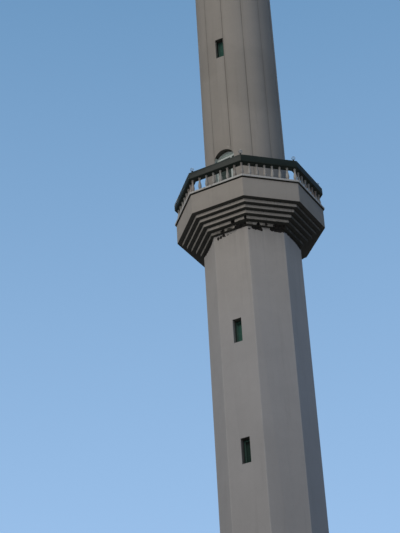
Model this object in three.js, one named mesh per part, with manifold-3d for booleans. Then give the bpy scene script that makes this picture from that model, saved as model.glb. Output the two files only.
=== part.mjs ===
// A plastered concrete minaret: an octagonal shaft with slit windows, a corbelled
// balcony with turned balusters, a twelve-lobed upper shaft and a pointed cap.
// It is a model at half the real size. X is to the right, -Y is the front and +Z is up,
// and the origin is at the middle of the underside of the ground floor.
import * as THREE from 'three';
import { mergeVertices } from 'three/addons/utils/BufferGeometryUtils.js';
import Module from 'manifold-3d';

const wasm = await Module();
wasm.setup();

// Scale: model millimetres for one metre of the real tower
const METRE = 1000 / 2;
const GAP = 0.3;
const RAD = Math.PI / 180;

// Octagonal lower part. A radius runs from the axis to a corner.
const SIDES = 8;
const SIDE_ANGLE = 360 / SIDES;
const floorTop = 0.20 * METRE;
const plinthRadius = 1.96 * METRE;
const plinthTop = 1.10 * METRE;
const plinthSlope = 0.08 * METRE;
const shaftRadius = 1.817 * METRE;
const shaftWall = 0.32 * METRE;
const shaftTop = 29.015 * METRE;

// Corbel courses that step out from the shaft to the balcony
const COURSES = 5;
const courseHeight = 0.137 * METRE;
const courseStep = 0.168 * METRE;
const bandStep = 0.188 * METRE;

// Balcony
const bandRadius = 2.80 * METRE;
const bandTop = 30.505 * METRE;
const dripRadius = 2.77 * METRE;
const dripHeight = 0.03 * METRE;
const deckRadius = 2.86 * METRE;
const deckTop = 30.615 * METRE;
const curbHeight = 0.05 * METRE;
const curbWidth = 0.15 * METRE;
const railTop = 31.49 * METRE;
const railHeight = 0.285 * METRE;
const railRadius = 2.85 * METRE;
const railWidth = 0.30 * METRE;
const balusterRadius = 2.685 * METRE;
const balusterGaps = 7;
const cornerOverlap = 2.6;
const lampRadius = 0.075 * METRE;
const lampHeight = 0.28 * METRE;

// Upper shaft: lobes between upright grooves, the first groove at this azimuth
const LOBES = 12;
const LOBE_ANGLE = 360 / LOBES;
const firstGroove = 7;
const upperRadius = 1.557 * METRE;
const upperWall = 0.36 * METRE;
const lobeFall = 0.012 * METRE;
const grooveDepth = 0.040 * METRE;
const grooveHalfAngle = 1.1;
const upperTop = 44.00 * METRE;

// Slit windows, by the height of the middle of each opening
const windowWidth = 0.34 * METRE;
const windowHeight = 0.92 * METRE;
const windowSpacing = 4.55 * METRE;
const topLowerWindow = 24.92 * METRE;
const lowerWindows = 5;
const firstUpperWindow = 37.75 * METRE;
const upperWindows = 2;
const windowRecess = 0.23 * METRE;
const windowFrameDepth = 0.07 * METRE;
const windowFrameWidth = 0.035 * METRE;
const paneRecess = 0.02 * METRE;

// Balcony door. Its head is half an ellipse over the springing line.
const doorAzimuth = -6.5;
const doorWidth = 0.90 * METRE;
const doorSpring = 32.48 * METRE;
const doorRise = 0.35 * METRE;
const doorRecess = 0.22 * METRE;
const doorFrameDepth = 0.09 * METRE;
const doorFrameWidth = 0.06 * METRE;
const transomTop = 32.63 * METRE;
const transomHeight = 0.08 * METRE;
const mullionFrom = 0.19 * METRE;
const mullionWidth = 0.07 * METRE;
const leafThickness = 0.045 * METRE;
const glassThickness = 0.02 * METRE;

// Entrance at the foot of the back wall
const entranceWidth = 0.84 * METRE;
const entranceTop = 2.35 * METRE;
const entranceRecess = 0.10 * METRE;

// Cornice, cap and finial
const corniceTop = 44.55 * METRE;
const corniceRadius = 1.76 * METRE;
const capRadius = 1.86 * METRE;
const capEaves = 0.07 * METRE;
const capTop = 52.00 * METRE;
const capTipRadius = 0.07 * METRE;
const capWall = 0.12 * METRE;
const stemTop = 53.15 * METRE;
const crescentRadius = 0.30 * METRE;
const crescentHole = 0.235 * METRE;
const crescentThickness = 0.05 * METRE;

// Finishes
const finish = (color, roughness, metalness = 0) =>
  new THREE.MeshStandardMaterial({ color, roughness, metalness });
const plaster = () => finish(0x9c958b, 0.9);
const floorConcrete = () => finish(0x8d8a84, 0.95);
const creamPaint = () => finish(0xd8d0bd, 0.75);
const greenPaint = () => finish(0x24352f, 0.35);
const windowGreen = () => finish(0x2f5a47, 0.3);
const whitePaint = () => finish(0xdedfd8, 0.5);
const paleGlass = () => finish(0x8fa89a, 0.15);
const capMetal = () => finish(0x2f5b45, 0.45, 0.6);
const finialMetal = () => finish(0x8c8468, 0.35, 0.9);

const minaret = new THREE.Group();

// Turns a closed geometry into a solid that can be cut and joined.
function solidFrom(geometry) {
  const bare = geometry.index ? geometry.toNonIndexed() : geometry.clone();
  bare.deleteAttribute('normal');
  bare.deleteAttribute('uv');
  const merged = mergeVertices(bare, 0.001);
  const corners = merged.index.array;
  const triangles = [];
  for (let i = 0; i < corners.length; i += 3) {
    const [a, b, c] = corners.slice(i, i + 3);
    if (a !== b && b !== c && c !== a) triangles.push(a, b, c);
  }
  return new wasm.Manifold(new wasm.Mesh({
    numProp: 3,
    vertProperties: new Float32Array(merged.attributes.position.array),
    triVerts: new Uint32Array(triangles),
  }));
}

// Turns a solid back into a geometry.
function geometryFrom(solid) {
  const mesh = solid.getMesh();
  const geometry = new THREE.BufferGeometry();
  geometry.setAttribute('position', new THREE.BufferAttribute(mesh.vertProperties, 3));
  geometry.setIndex(new THREE.BufferAttribute(mesh.triVerts, 1));
  geometry.computeVertexNormals();
  return geometry;
}

function addPiece(name, solid, material) {
  const piece = new THREE.Mesh(geometryFrom(solid), material);
  piece.name = name;
  minaret.add(piece);
}

// A point on the plan at a distance from the axis, by its azimuth from the front.
function planPoint(radius, azimuth) {
  return new THREE.Vector2(radius * Math.sin(azimuth * RAD), -radius * Math.cos(azimuth * RAD));
}

// A profile of [radius, height] points turned about the tower's axis.
function turned(profile, sides, firstCorner = 0) {
  const points = profile.map(([radius, height]) => new THREE.Vector2(radius, height));
  points.push(points[0].clone());
  const geometry = new THREE.LatheGeometry(points, sides, firstCorner * RAD);
  return solidFrom(geometry.rotateX(Math.PI / 2));
}

const octagonal = (profile) => turned(profile, SIDES, SIDE_ANGLE / 2);

// A plan outline raised from one height to another.
function raised(outline, bottom, top) {
  const shape = new THREE.Shape(outline);
  const geometry = new THREE.ExtrudeGeometry(shape, { depth: top - bottom, bevelEnabled: false });
  return solidFrom(geometry.translate(0, 0, bottom));
}

// The slice of the tower between two azimuths, half a gap short of each of them.
function slice(from, to, bottom, top) {
  const reach = 2 * deckRadius;
  const middle = (from + to) / 2;
  const tip = planPoint(GAP / 2 / Math.sin((to - from) / 2 * RAD), middle);
  const outline = [from, middle, to].map((azimuth) => planPoint(reach, azimuth).add(tip));
  return raised([tip, ...outline], bottom, top);
}

// A box that faces outwards at an azimuth, between two distances from the axis.
function facingBox(azimuth, width, inner, outer, bottom, top) {
  const geometry = new THREE.BoxGeometry(width, outer - inner, top - bottom);
  geometry.translate(0, -(outer + inner) / 2, (top + bottom) / 2);
  return solidFrom(geometry.rotateZ(azimuth * RAD));
}

// An upright outline of [across, height] points, facing outwards at an azimuth.
function facingPlate(outline, azimuth, inner, outer) {
  const depth = outer - inner;
  const geometry = new THREE.ExtrudeGeometry(outline, { depth, bevelEnabled: false, curveSegments: 8 });
  geometry.rotateX(Math.PI / 2);
  geometry.translate(0, -inner, 0);
  return solidFrom(geometry.rotateZ(azimuth * RAD));
}

// A door outline with its head, narrower and lower by an inset all round.
function archOutline(bottom, inset = 0) {
  const half = doorWidth / 2 - inset;
  const shape = new THREE.Shape();
  shape.moveTo(-half, bottom);
  shape.lineTo(half, bottom);
  shape.lineTo(half, doorSpring);
  shape.absellipse(0, doorSpring, half, doorRise - inset, 0, Math.PI, false, 0);
  shape.lineTo(-half, bottom);
  return shape;
}

const toFlat = Math.cos(SIDE_ANGLE / 2 * RAD);
const shaftFace = shaftRadius * toFlat;
const shaftInner = shaftFace - shaftWall;
const boreRadius = shaftInner / toFlat;
const sideNames = ['front', 'front_right', 'right', 'back_right', 'back', 'back_left', 'left', 'front_left'];

// Ground floor
addPiece('ground_floor', octagonal([[0, 0], [plinthRadius, 0], [plinthRadius, floorTop - GAP],
  [0, floorTop - GAP]]), floorConcrete());

// Lower shaft, one wall on each side of the octagon
const lowerShaft = octagonal([[shaftRadius, floorTop], [shaftRadius, shaftTop], [boreRadius, shaftTop],
  [boreRadius, floorTop]]);
const lowerWindowHeights = Array.from({ length: lowerWindows },
  (_, i) => topLowerWindow - (lowerWindows - 1 - i) * windowSpacing);
const windowHole = (azimuth, height, face) => facingBox(azimuth, windowWidth, face - 2 * shaftWall,
  face + shaftWall, height - windowHeight / 2, height + windowHeight / 2);

const entranceDoorway = facingBox(180, entranceWidth, shaftInner / 2, 2 * shaftFace, 0, entranceTop);

sideNames.forEach((side, i) => {
  const azimuth = i * SIDE_ANGLE;
  const wall = lowerShaft.intersect(slice(azimuth - SIDE_ANGLE / 2, azimuth + SIDE_ANGLE / 2, 0, shaftTop));
  if (side === 'front') {
    const holes = lowerWindowHeights.map((height) => windowHole(azimuth, height, shaftFace));
    addPiece('lower_wall_front', holes.reduce((rest, hole) => rest.subtract(hole), wall), plaster());
  } else if (side === 'back') {
    const reach = 2 * shaftRadius;
    const over = facingBox(azimuth, reach, 0, reach, entranceTop + GAP / 2, shaftTop + GAP);
    const below = facingBox(azimuth, reach, 0, reach, 0, entranceTop - GAP / 2);
    const piers = wall.intersect(below).subtract(entranceDoorway);
    addPiece('lower_wall_back', wall.intersect(over), plaster());
    piers.decompose().forEach((pier) => {
      const sideways = pier.boundingBox().max[0] > shaftInner / 2 ? 'right' : 'left';
      addPiece('entrance_pier_' + sideways, pier, plaster());
    });
  } else {
    addPiece('lower_wall_' + side, wall, plaster());
  }
});

// Plinth round the foot of the walls, open at the entrance
addPiece('plinth', octagonal([[plinthRadius, floorTop], [plinthRadius, plinthTop - plinthSlope],
  [shaftRadius + GAP, plinthTop], [shaftRadius + GAP, floorTop]]).subtract(entranceDoorway), plaster());

// Entrance frame and leaf
const entranceFace = shaftFace - entranceRecess;
const entranceHalf = entranceWidth / 2 - GAP;
const frameBack = entranceFace - doorFrameDepth;
const entranceBlank = facingBox(180, 2 * entranceHalf, frameBack, entranceFace,
  floorTop + GAP, entranceTop - GAP);
const entranceHole = (slack) => facingBox(180, 2 * (entranceHalf - doorFrameWidth - slack), 0,
  2 * shaftFace, floorTop - METRE, entranceTop - GAP - doorFrameWidth - slack);
addPiece('entrance_frame', entranceBlank.subtract(entranceHole(0)), whitePaint());
const entranceMiddle = (frameBack + entranceFace) / 2;
const entranceLeaf = facingBox(180, 2 * entranceHalf, entranceMiddle - leafThickness / 2,
  entranceMiddle + leafThickness / 2, floorTop + GAP, entranceTop);
addPiece('entrance_door', entranceLeaf.intersect(entranceHole(GAP)), greenPaint());

// Slit windows: a frame with its pane, set back in the wall
function slitWindow(azimuth, height, face) {
  const half = windowHeight / 2 - GAP;
  const outer = face - windowRecess;
  const inner = outer - windowFrameDepth;
  const width = windowWidth - 2 * GAP;
  const block = facingBox(azimuth, width, inner, outer, height - half, height + half);
  const light = width - 2 * windowFrameWidth;
  const rise = half - windowFrameWidth;
  const front = facingBox(azimuth, light, outer - paneRecess, outer + METRE, height - rise, height + rise);
  const back = facingBox(azimuth, light, 0, inner + paneRecess, height - rise, height + rise);
  return block.subtract(front).subtract(back);
}
lowerWindowHeights.forEach((height, i) => {
  addPiece('slit_window_' + (i + 1), slitWindow(0, height, shaftFace), windowGreen());
});

// Corbel courses, each stepping out over the one below
const corbelBottom = shaftTop + GAP;
for (let course = 1; course <= COURSES; course += 1) {
  const radius = bandRadius - bandStep - (COURSES - course) * courseStep;
  const bottom = corbelBottom + (course - 1) * courseHeight;
  const top = bottom + courseHeight - GAP;
  addPiece('corbel_course_' + course,
    octagonal([[boreRadius, bottom], [radius, bottom], [radius, top], [boreRadius, top]]), plaster());
}

// Balcony band and the deck with its thin projecting edge
const bandBottom = corbelBottom + COURSES * courseHeight;
addPiece('balcony_band', octagonal([[boreRadius, bandBottom], [bandRadius, bandBottom],
  [bandRadius, bandTop - GAP], [boreRadius, bandTop - GAP]]), plaster());
const dripTop = bandTop + dripHeight;
addPiece('balcony_deck', octagonal([[0, bandTop], [dripRadius, bandTop], [dripRadius, dripTop],
  [deckRadius, dripTop], [deckRadius, deckTop], [0, deckTop]]), floorConcrete());

// Balustrade: a curb and its turned balusters on each side, under one handrail
const curbBottom = deckTop + GAP;
const curbTop = curbBottom + curbHeight;
const railBottom = railTop - railHeight;
const balusterTop = railBottom - GAP;
const balusterHeight = balusterTop - curbTop;
const balusterProfile = [[0, -0.03], [0.056, -0.03], [0.056, 0.06], [0.036, 0.12], [0.065, 0.30],
  [0.060, 0.44], [0.029, 0.80], [0.044, 0.90], [0.044, 1], [0, 1]];
const baluster = turned(balusterProfile.map(([radius, part]) => [radius * METRE, part * balusterHeight]), 6)
  .translate([0, 0, curbTop]);
const curbOuter = balusterRadius + curbWidth / 2 / toFlat;
const curbInner = balusterRadius - curbWidth / 2 / toFlat;
const curb = octagonal([[curbInner, curbBottom], [curbOuter, curbBottom], [curbOuter, curbTop],
  [curbInner, curbTop]]);

sideNames.forEach((side, i) => {
  const from = (i - 0.5) * SIDE_ANGLE;
  const start = planPoint(balusterRadius, from);
  const end = planPoint(balusterRadius, from + SIDE_ANGLE);
  let balustrade = curb.intersect(slice(from - cornerOverlap, from + SIDE_ANGLE - cornerOverlap,
    curbBottom - GAP, curbTop + GAP));
  for (let n = 0; n < balusterGaps; n += 1) {
    const foot = start.clone().lerp(end, n / balusterGaps);
    balustrade = balustrade.add(baluster.rotate([0, 0, i * SIDE_ANGLE]).translate([foot.x, foot.y, 0]));
  }
  addPiece('balustrade_' + side, balustrade, creamPaint());
});
const railInner = railRadius - railWidth / toFlat;
const rail = octagonal([[railInner, railBottom], [railRadius, railBottom], [railRadius, railTop],
  [railInner, railTop]]);
const lampProfile = [[0, -0.1], [0.45, -0.1], [0.45, 0.46], [0.75, 0.54], [1, 0.67], [1, 0.79], [0.75, 0.92],
  [0.3, 1], [0, 1]];
const lamp = turned(lampProfile.map(([radius, height]) => [radius * lampRadius, height * lampHeight]), 8)
  .translate([0, 0, railTop]);
const cornerLamps = sideNames.map((side, i) => {
  const corner = planPoint(balusterRadius, (i - 0.5) * SIDE_ANGLE);
  return lamp.translate([corner.x, corner.y, 0]);
});
addPiece('handrail', cornerLamps.reduce((whole, one) => whole.add(one), rail), greenPaint());

// Upper shaft: a round wall of lobes between grooves, in four quarters
const upperBottom = deckTop + GAP;
const upperOutline = [];
for (let lobe = 0; lobe < LOBES; lobe += 1) {
  const groove = firstGroove + lobe * LOBE_ANGLE;
  upperOutline.push(planPoint(upperRadius - grooveDepth, groove));
  const halfLobe = LOBE_ANGLE / 2 - grooveHalfAngle;
  for (const part of [-1, -0.5, 0, 0.5, 1]) {
    const azimuth = groove + LOBE_ANGLE / 2 + part * halfLobe;
    upperOutline.push(planPoint(upperRadius - lobeFall * part * part, azimuth));
  }
}
const innerOutline = Array.from({ length: LOBES },
  (_, i) => planPoint(upperRadius - upperWall, firstGroove + i * LOBE_ANGLE));
const upperShaft = raised(upperOutline, upperBottom, upperTop)
  .subtract(raised(innerOutline, upperBottom - METRE, upperTop + METRE));
const doorway = facingPlate(archOutline(0), doorAzimuth, 0, 2 * upperRadius);
const upperWindowHeights = Array.from({ length: upperWindows },
  (_, i) => firstUpperWindow + i * windowSpacing);

const quarterStart = firstGroove - 2 * LOBE_ANGLE;
['front', 'right', 'back', 'left'].forEach((quarter, i) => {
  const from = quarterStart + i * 90;
  const whole = upperShaft.intersect(slice(from, from + 90, upperBottom - METRE, upperTop + METRE));
  if (quarter !== 'front') {
    addPiece('upper_wall_' + quarter, whole, plaster());
    return;
  }
  const holes = upperWindowHeights.map((height) => windowHole(0, height, upperRadius));
  const wall = [...holes, doorway].reduce((rest, hole) => rest.subtract(hole), whole);
  const reach = 2 * upperRadius;
  const over = facingBox(0, 2 * reach, 0, reach, doorSpring + GAP / 2, upperTop + METRE);
  const below = facingBox(0, 2 * reach, 0, reach, 0, doorSpring - GAP / 2);
  addPiece('upper_wall_front', wall.intersect(over), plaster());
  wall.intersect(below).decompose().forEach((pier) => {
    const box = pier.boundingBox();
    const sideways = box.min[0] + box.max[0] > 0 ? 'right' : 'left';
    addPiece('balcony_pier_' + sideways, pier, plaster());
  });
});
upperWindowHeights.forEach((height, i) => {
  addPiece('slit_window_' + (lowerWindows + i + 1), slitWindow(0, height, upperRadius), windowGreen());
});

// Balcony door: an arched frame with a transom and a mullion, a wide and a narrow leaf and a fanlight
const frameOuter = upperRadius - doorRecess;
const frameInner = frameOuter - doorFrameDepth;
const doorLight = archOutline(upperBottom - METRE, GAP + doorFrameWidth);
const doorShort = archOutline(upperBottom - METRE, 2 * GAP + doorFrameWidth);
const doorBand = (from, to, bottom, top) => {
  const aside = planPoint((from + to) / 2, doorAzimuth + 90);
  return facingBox(doorAzimuth, to - from, 0, 2 * upperRadius, bottom, top).translate([aside.x, aside.y, 0]);
};
const transom = doorBand(-doorWidth, doorWidth, transomTop - transomHeight, transomTop);
const mullion = doorBand(mullionFrom, mullionFrom + mullionWidth, 0, transomTop);
const doorBlank = facingPlate(archOutline(upperBottom, GAP), doorAzimuth, frameInner, frameOuter);
const doorCut = facingPlate(doorLight, doorAzimuth, 0, 2 * upperRadius);
addPiece('balcony_door_frame', doorBlank.subtract(doorCut.subtract(transom).subtract(mullion)),
  whitePaint());
const frameMiddle = (frameInner + frameOuter) / 2;
const infill = (thickness, from, to, bottom, top) => facingPlate(doorShort, doorAzimuth,
  frameMiddle - thickness / 2, frameMiddle + thickness / 2).intersect(doorBand(from, to, bottom, top));
const leafTop = transomTop - transomHeight - GAP;
const mullionEnd = mullionFrom + mullionWidth;
addPiece('balcony_door',
  infill(leafThickness, -doorWidth, mullionFrom - GAP, upperBottom, leafTop), greenPaint());
addPiece('balcony_side_leaf',
  infill(leafThickness, mullionEnd + GAP, doorWidth, upperBottom, leafTop), greenPaint());
addPiece('balcony_fanlight',
  infill(glassThickness, -doorWidth, doorWidth, transomTop + GAP, doorSpring + doorWidth), paleGlass());

// Cornice, cap and finial
const upperBore = upperRadius - upperWall;
const corniceBottom = upperTop + GAP;
const corniceStep = (corniceTop - corniceBottom) / 4;
addPiece('cornice', turned([[upperBore, corniceBottom], [upperRadius, corniceBottom],
  [upperRadius, corniceBottom + corniceStep], [corniceRadius, corniceBottom + 3 * corniceStep],
  [corniceRadius, corniceTop], [upperBore, corniceTop]], 2 * LOBES, firstGroove), plaster());
const capBottom = corniceTop + GAP;
addPiece('cap', turned([[upperBore, capBottom], [capRadius, capBottom], [capRadius, capBottom + capEaves],
  [capTipRadius, capTop], [0, capTop], [0, capTop - METRE],
  [capRadius - 2 * capWall, capBottom + capEaves], [upperBore, capBottom + capEaves]],
  LOBES, firstGroove), capMetal());

const stemLength = stemTop - capTop;
const stemProfile = [[0, 0], [0.10, 0], [0.06, 0.06], [0.05, 0.14], [0.16, 0.24], [0.17, 0.32], [0.05, 0.44],
  [0.045, 0.50], [0.12, 0.58], [0.12, 0.64], [0.04, 0.72], [0.035, 0.76], [0.08, 0.82], [0.08, 0.87],
  [0.03, 0.93], [0.025, 1.0], [0, 1.0]];
const stem = turned(stemProfile.map(([radius, height]) => [radius * METRE, height * stemLength]), 12);
addPiece('finial_stem', stem.translate([0, 0, capTop + GAP]), finialMetal());
const crescentMiddle = stemTop + 2 * GAP + crescentRadius;
const disc = (radius, thickness, height) => {
  const geometry = new THREE.CylinderGeometry(radius, radius, thickness, 32);
  return solidFrom(geometry).translate([0, 0, height]);
};
addPiece('finial_crescent', disc(crescentRadius, crescentThickness, crescentMiddle)
  .subtract(disc(crescentHole, METRE, crescentMiddle + 0.10 * METRE)), finialMetal());

export default minaret;
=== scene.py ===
"""Looks of a plastered minaret, a scale model at half size, modelled around its packed solids.

Lengths are metres of the model. The tower stands on z = 0, its front with the slit windows faces -Y,
and an azimuth is an angle about the upright axis, from the front toward +X, in degrees.
"""

import math
from contextlib import contextmanager
from functools import partialmethod

import bmesh
import bpy
from bpy.props import FloatProperty, FloatVectorProperty, IntProperty, PointerProperty
from bpy.types import Operator, Panel, PropertyGroup
from mathutils import Matrix, Vector


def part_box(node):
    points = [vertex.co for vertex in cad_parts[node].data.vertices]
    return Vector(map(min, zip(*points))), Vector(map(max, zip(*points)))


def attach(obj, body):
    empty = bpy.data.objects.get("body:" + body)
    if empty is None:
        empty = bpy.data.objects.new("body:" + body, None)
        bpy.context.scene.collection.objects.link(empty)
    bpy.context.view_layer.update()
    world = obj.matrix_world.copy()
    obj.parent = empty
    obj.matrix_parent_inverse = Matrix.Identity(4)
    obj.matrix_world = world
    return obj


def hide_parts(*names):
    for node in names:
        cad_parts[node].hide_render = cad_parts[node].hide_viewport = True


bl_info = {
    "name": "Plastered Minaret",
    "version": (1, 0, 0),
    "blender": (4, 5, 0),
    "location": "3D View > Sidebar > Minaret",
    "description": "Models a plastered minaret with its balcony, doors, windows, cap and finial",
    "category": "Add Mesh",
}

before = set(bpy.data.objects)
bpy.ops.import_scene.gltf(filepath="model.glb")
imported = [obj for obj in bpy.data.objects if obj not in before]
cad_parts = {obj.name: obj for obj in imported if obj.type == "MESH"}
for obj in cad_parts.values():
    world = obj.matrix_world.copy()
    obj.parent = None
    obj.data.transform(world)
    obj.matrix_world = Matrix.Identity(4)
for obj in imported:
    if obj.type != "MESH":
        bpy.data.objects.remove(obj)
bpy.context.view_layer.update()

SIDES = 8
SIDE_ANGLE = 360 / SIDES
# The distance of an octagon's sides from the axis, as a share of its corners' distance
FLAT = math.cos(math.radians(SIDE_ANGLE / 2))
LOBES = 12
LOBE_ANGLE = 360 / LOBES
LOBE_STEPS = 60
FIRST_GROOVE = 7
# Grooves that are partly filled: azimuth, and the share of the depth that is left
FILLED_GROOVES = {67: 0.3, 37: 0.25, -23: 0.35, -53: 0.5}
# The gap between two pieces, and the distance under which two places count as one
GAP = 0.0003
CLOSE = 0.0008
SHARP = math.radians(30)
# How far a cutter reaches past a small piece, and through a wall
PAST = 0.1
THROUGH = 0.5
# Steps round a small turned form
ROUND_STEPS = 20
# Rounding of the edges of glass, of fine work, of fittings and of trim
GLASS_ARRIS = 0.001
FINE_ARRIS = 0.0015
FITTING_ARRIS = 0.0018
TRIM_ARRIS = 0.003
# The least part of a face's normal in a direction that it looks straight in
STRAIGHT = 0.9

SIDE_NAMES = ("front", "front_right", "right", "back_right", "back", "back_left", "left", "front_left")
QUARTERS = ("front", "right", "back", "left")
COURSES = 5
LOWER_WINDOWS = 5
SOILED_WINDOW = 4
WINDOWS = 7


def octagon(node):
    """The corner radius, the bottom and the top of an octagonal solid."""
    low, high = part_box(node)
    return high.y / FLAT, low.z, high.z


def on_plan(radius, azimuth):
    """A point on the plan, by its distance from the axis and its azimuth in degrees."""
    angle = math.radians(azimuth)
    return Vector((radius * math.sin(angle), -radius * math.cos(angle), 0))


def rounded(points, steps):
    """A smooth curve through a few [radius, height] points, with some steps between each two."""
    places = [Vector(point) for point in points]
    path = [places[0] * 2 - places[1], *places, places[-1] * 2 - places[-2]]
    curve = []
    for before, start, end, after in zip(path, path[1:], path[2:], path[3:]):
        for step in range(steps):
            t = step / steps
            bend = (end - before) * t + (before * 2 - start * 5 + end * 4 - after) * t ** 2
            curve.append(start + (bend + (start * 3 - before - end * 3 + after) * t ** 3) / 2)
    return [tuple(point) for point in curve] + [tuple(places[-1])]


# The side that gets least sun, where the plaster is painted darker as shade
SHADE_SIDE = 125

# Dark stains round the broken places: the side's azimuth, the distance along it, the height over
# the lowest course and the radius
STAINS = (
    (0, 0.260, 0.02, 0.11), (0, 0.385, 0.08, 0.05), (0, -0.136, 0.01, 0.06), (0, 0.010, -0.01, 0.07),
    (45, -0.155, 0.00, 0.05), (45, -0.008, 0.03, 0.03), (45, 0.240, 0.01, 0.11), (45, 0.330, 0.03, 0.07),
    (180, 0.150, 0.03, 0.14),
)

# Broken places of the lowest courses: course, side's azimuth, distance along it, height over the
# course's bottom, then half the size along the side, inward and upward
BREAKS = (
    (1, 0, -0.136, 0.005, 0.036, 0.040, 0.055),
    (1, 0, 0.165, 0.010, 0.060, 0.050, 0.060),
    (1, 0, 0.250, 0.005, 0.070, 0.060, 0.075),
    (1, 0, 0.320, 0.025, 0.040, 0.050, 0.075),
    (2, 0, 0.125, 0.035, 0.046, 0.040, 0.055),
    (2, 0, 0.382, 0.025, 0.026, 0.045, 0.060),
    (1, 45, -0.152, 0.010, 0.028, 0.050, 0.070),
    (1, 45, -0.008, 0.045, 0.018, 0.030, 0.030),
    (1, 45, 0.180, 0.015, 0.060, 0.055, 0.060),
    (1, 45, 0.270, 0.010, 0.070, 0.060, 0.070),
    (1, 45, 0.335, 0.020, 0.030, 0.045, 0.060),
    (1, 180, 0.120, 0.000, 0.060, 0.045, 0.050),
    (1, 225, -0.210, 0.010, 0.040, 0.040, 0.060),
)

# Places at the top of the walls where plaster has fallen off: the side's azimuth, the distance along
# it, the depth under the wall's top, then half the size along the side, inward and upward
SPALLS = (
    (45, -0.235, 0.020, 0.040, 0.022, 0.038), (45, -0.185, 0.022, 0.050, 0.022, 0.046),
    (45, -0.125, 0.024, 0.050, 0.022, 0.046), (45, -0.085, 0.050, 0.026, 0.018, 0.036),
    (45, -0.315, 0.056, 0.032, 0.008, 0.007), (45, 0.120, 0.022, 0.045, 0.022, 0.044),
    (45, 0.190, 0.028, 0.055, 0.022, 0.046), (45, 0.265, 0.030, 0.055, 0.022, 0.046),
    (45, 0.335, 0.026, 0.045, 0.022, 0.040), (0, -0.262, 0.066, 0.022, 0.016, 0.042),
    (0, -0.208, 0.056, 0.030, 0.016, 0.032), (0, -0.150, 0.030, 0.030, 0.014, 0.038),
    (0, -0.120, 0.060, 0.014, 0.012, 0.016), (0, -0.062, 0.048, 0.028, 0.010, 0.009),
    (0, 0.005, 0.044, 0.010, 0.008, 0.008), (-45, 0.235, 0.006, 0.050, 0.018, 0.024),
    (-45, 0.165, 0.018, 0.050, 0.018, 0.040), (-45, 0.085, 0.022, 0.055, 0.018, 0.044),
    (-45, 0.000, 0.030, 0.055, 0.018, 0.044), (-45, -0.090, 0.026, 0.060, 0.018, 0.042),
    (-45, -0.185, 0.022, 0.060, 0.018, 0.040), (-45, -0.285, 0.010, 0.060, 0.018, 0.030),
    (90, -0.290, 0.010, 0.060, 0.016, 0.028), (90, -0.190, 0.010, 0.060, 0.016, 0.028),
    (90, -0.090, 0.010, 0.060, 0.016, 0.030), (90, -0.010, 0.012, 0.060, 0.016, 0.028),
    (90, 0.060, 0.015, 0.060, 0.016, 0.024), (90, 0.150, 0.022, 0.060, 0.018, 0.032),
    (90, 0.235, 0.030, 0.055, 0.020, 0.042), (90, 0.305, 0.040, 0.050, 0.022, 0.054),
    (225, 0.120, 0.050, 0.070, 0.020, 0.040), (225, 0.200, 0.045, 0.050, 0.020, 0.034),
)

# The first seed of the fallen places; those of the broken courses start at 0
SPALL_SEED = 40

# Faint dark clouds on the upper shaft: azimuth, height above the ground and radius
SMUDGES = ((-12, 18.70, 0.60), (50, 18.05, 1.00), (150, 20.20, 0.80), (-100, 17.60, 0.70))


def shaft_face():
    """The distance of the octagonal shaft's sides from the axis."""
    return octagon("lower_wall_back")[0] * FLAT


def upper_radius():
    """The distance of the upper shaft's lobes from the axis."""
    return max(abs(corner.x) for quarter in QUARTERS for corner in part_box(f"upper_wall_{quarter}"))


def on_side(radius, side, along, height):
    """A point on a flat side of an octagon, by the octagon's corner radius and the side's azimuth."""
    across = Matrix.Rotation(math.radians(side), 3, "Z") @ Vector((along, 0, 0))
    return on_plan(radius * FLAT, side) + across + Vector((0, 0, height))


def stain_spot(stain):
    """The middle and the radius of a stain."""
    side, along, rise, size = stain
    radius, low, _ = octagon("corbel_course_1")
    return on_side(radius, side, along, low + rise), size


def spall_spot(spall):
    """The middle and the radius of the stain round a spall."""
    side, along, drop, wide, _, tall = spall
    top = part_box("lower_wall_front")[1].z
    return on_side(octagon("lower_wall_back")[0], side, along, top - drop), (wide + tall) * 0.5


# Sizes and colours that a user would change

def length(name, description, default):
    """A length in metres of the model."""
    return FloatProperty(name=name, description=description, default=default, min=0, unit="LENGTH",
                         subtype="DISTANCE", precision=4)


def colour(name, description, default):
    """A colour with its values in linear light."""
    return FloatVectorProperty(name=name, description=description, default=default, size=3, min=0, max=1,
                               subtype="COLOR")


def amount(name, description, default):
    """A plain number."""
    return FloatProperty(name=name, description=description, default=default)


class MinaretWallSizes(PropertyGroup):
    """Sizes of the walls and their plaster"""
    lower_wall: length("Lower Wall", "Thickness of the octagonal wall", 0.16)
    upper_wall: length("Upper Wall", "Thickness of the lobed wall", 0.18)
    arris: length("Arris", "Rounding of the octagon's upright corners", 0.007)
    opening_arris: length("Opening Arris", "Rounding of the plaster round an opening", 0.004)
    groove_depth: length("Groove Depth", "Depth of the grooves of the upper shaft", 0.014)
    lobe_fall: length("Lobe Fall", "How far a lobe falls back from its middle to its grooves", 0.006)
    plinth_slope: length("Plinth Slope", "Height of the sloped top of the plinth", 0.04)
    course_arris: length("Course Arris", "Rounding of the edges of the corbel courses", 0.005)


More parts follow.
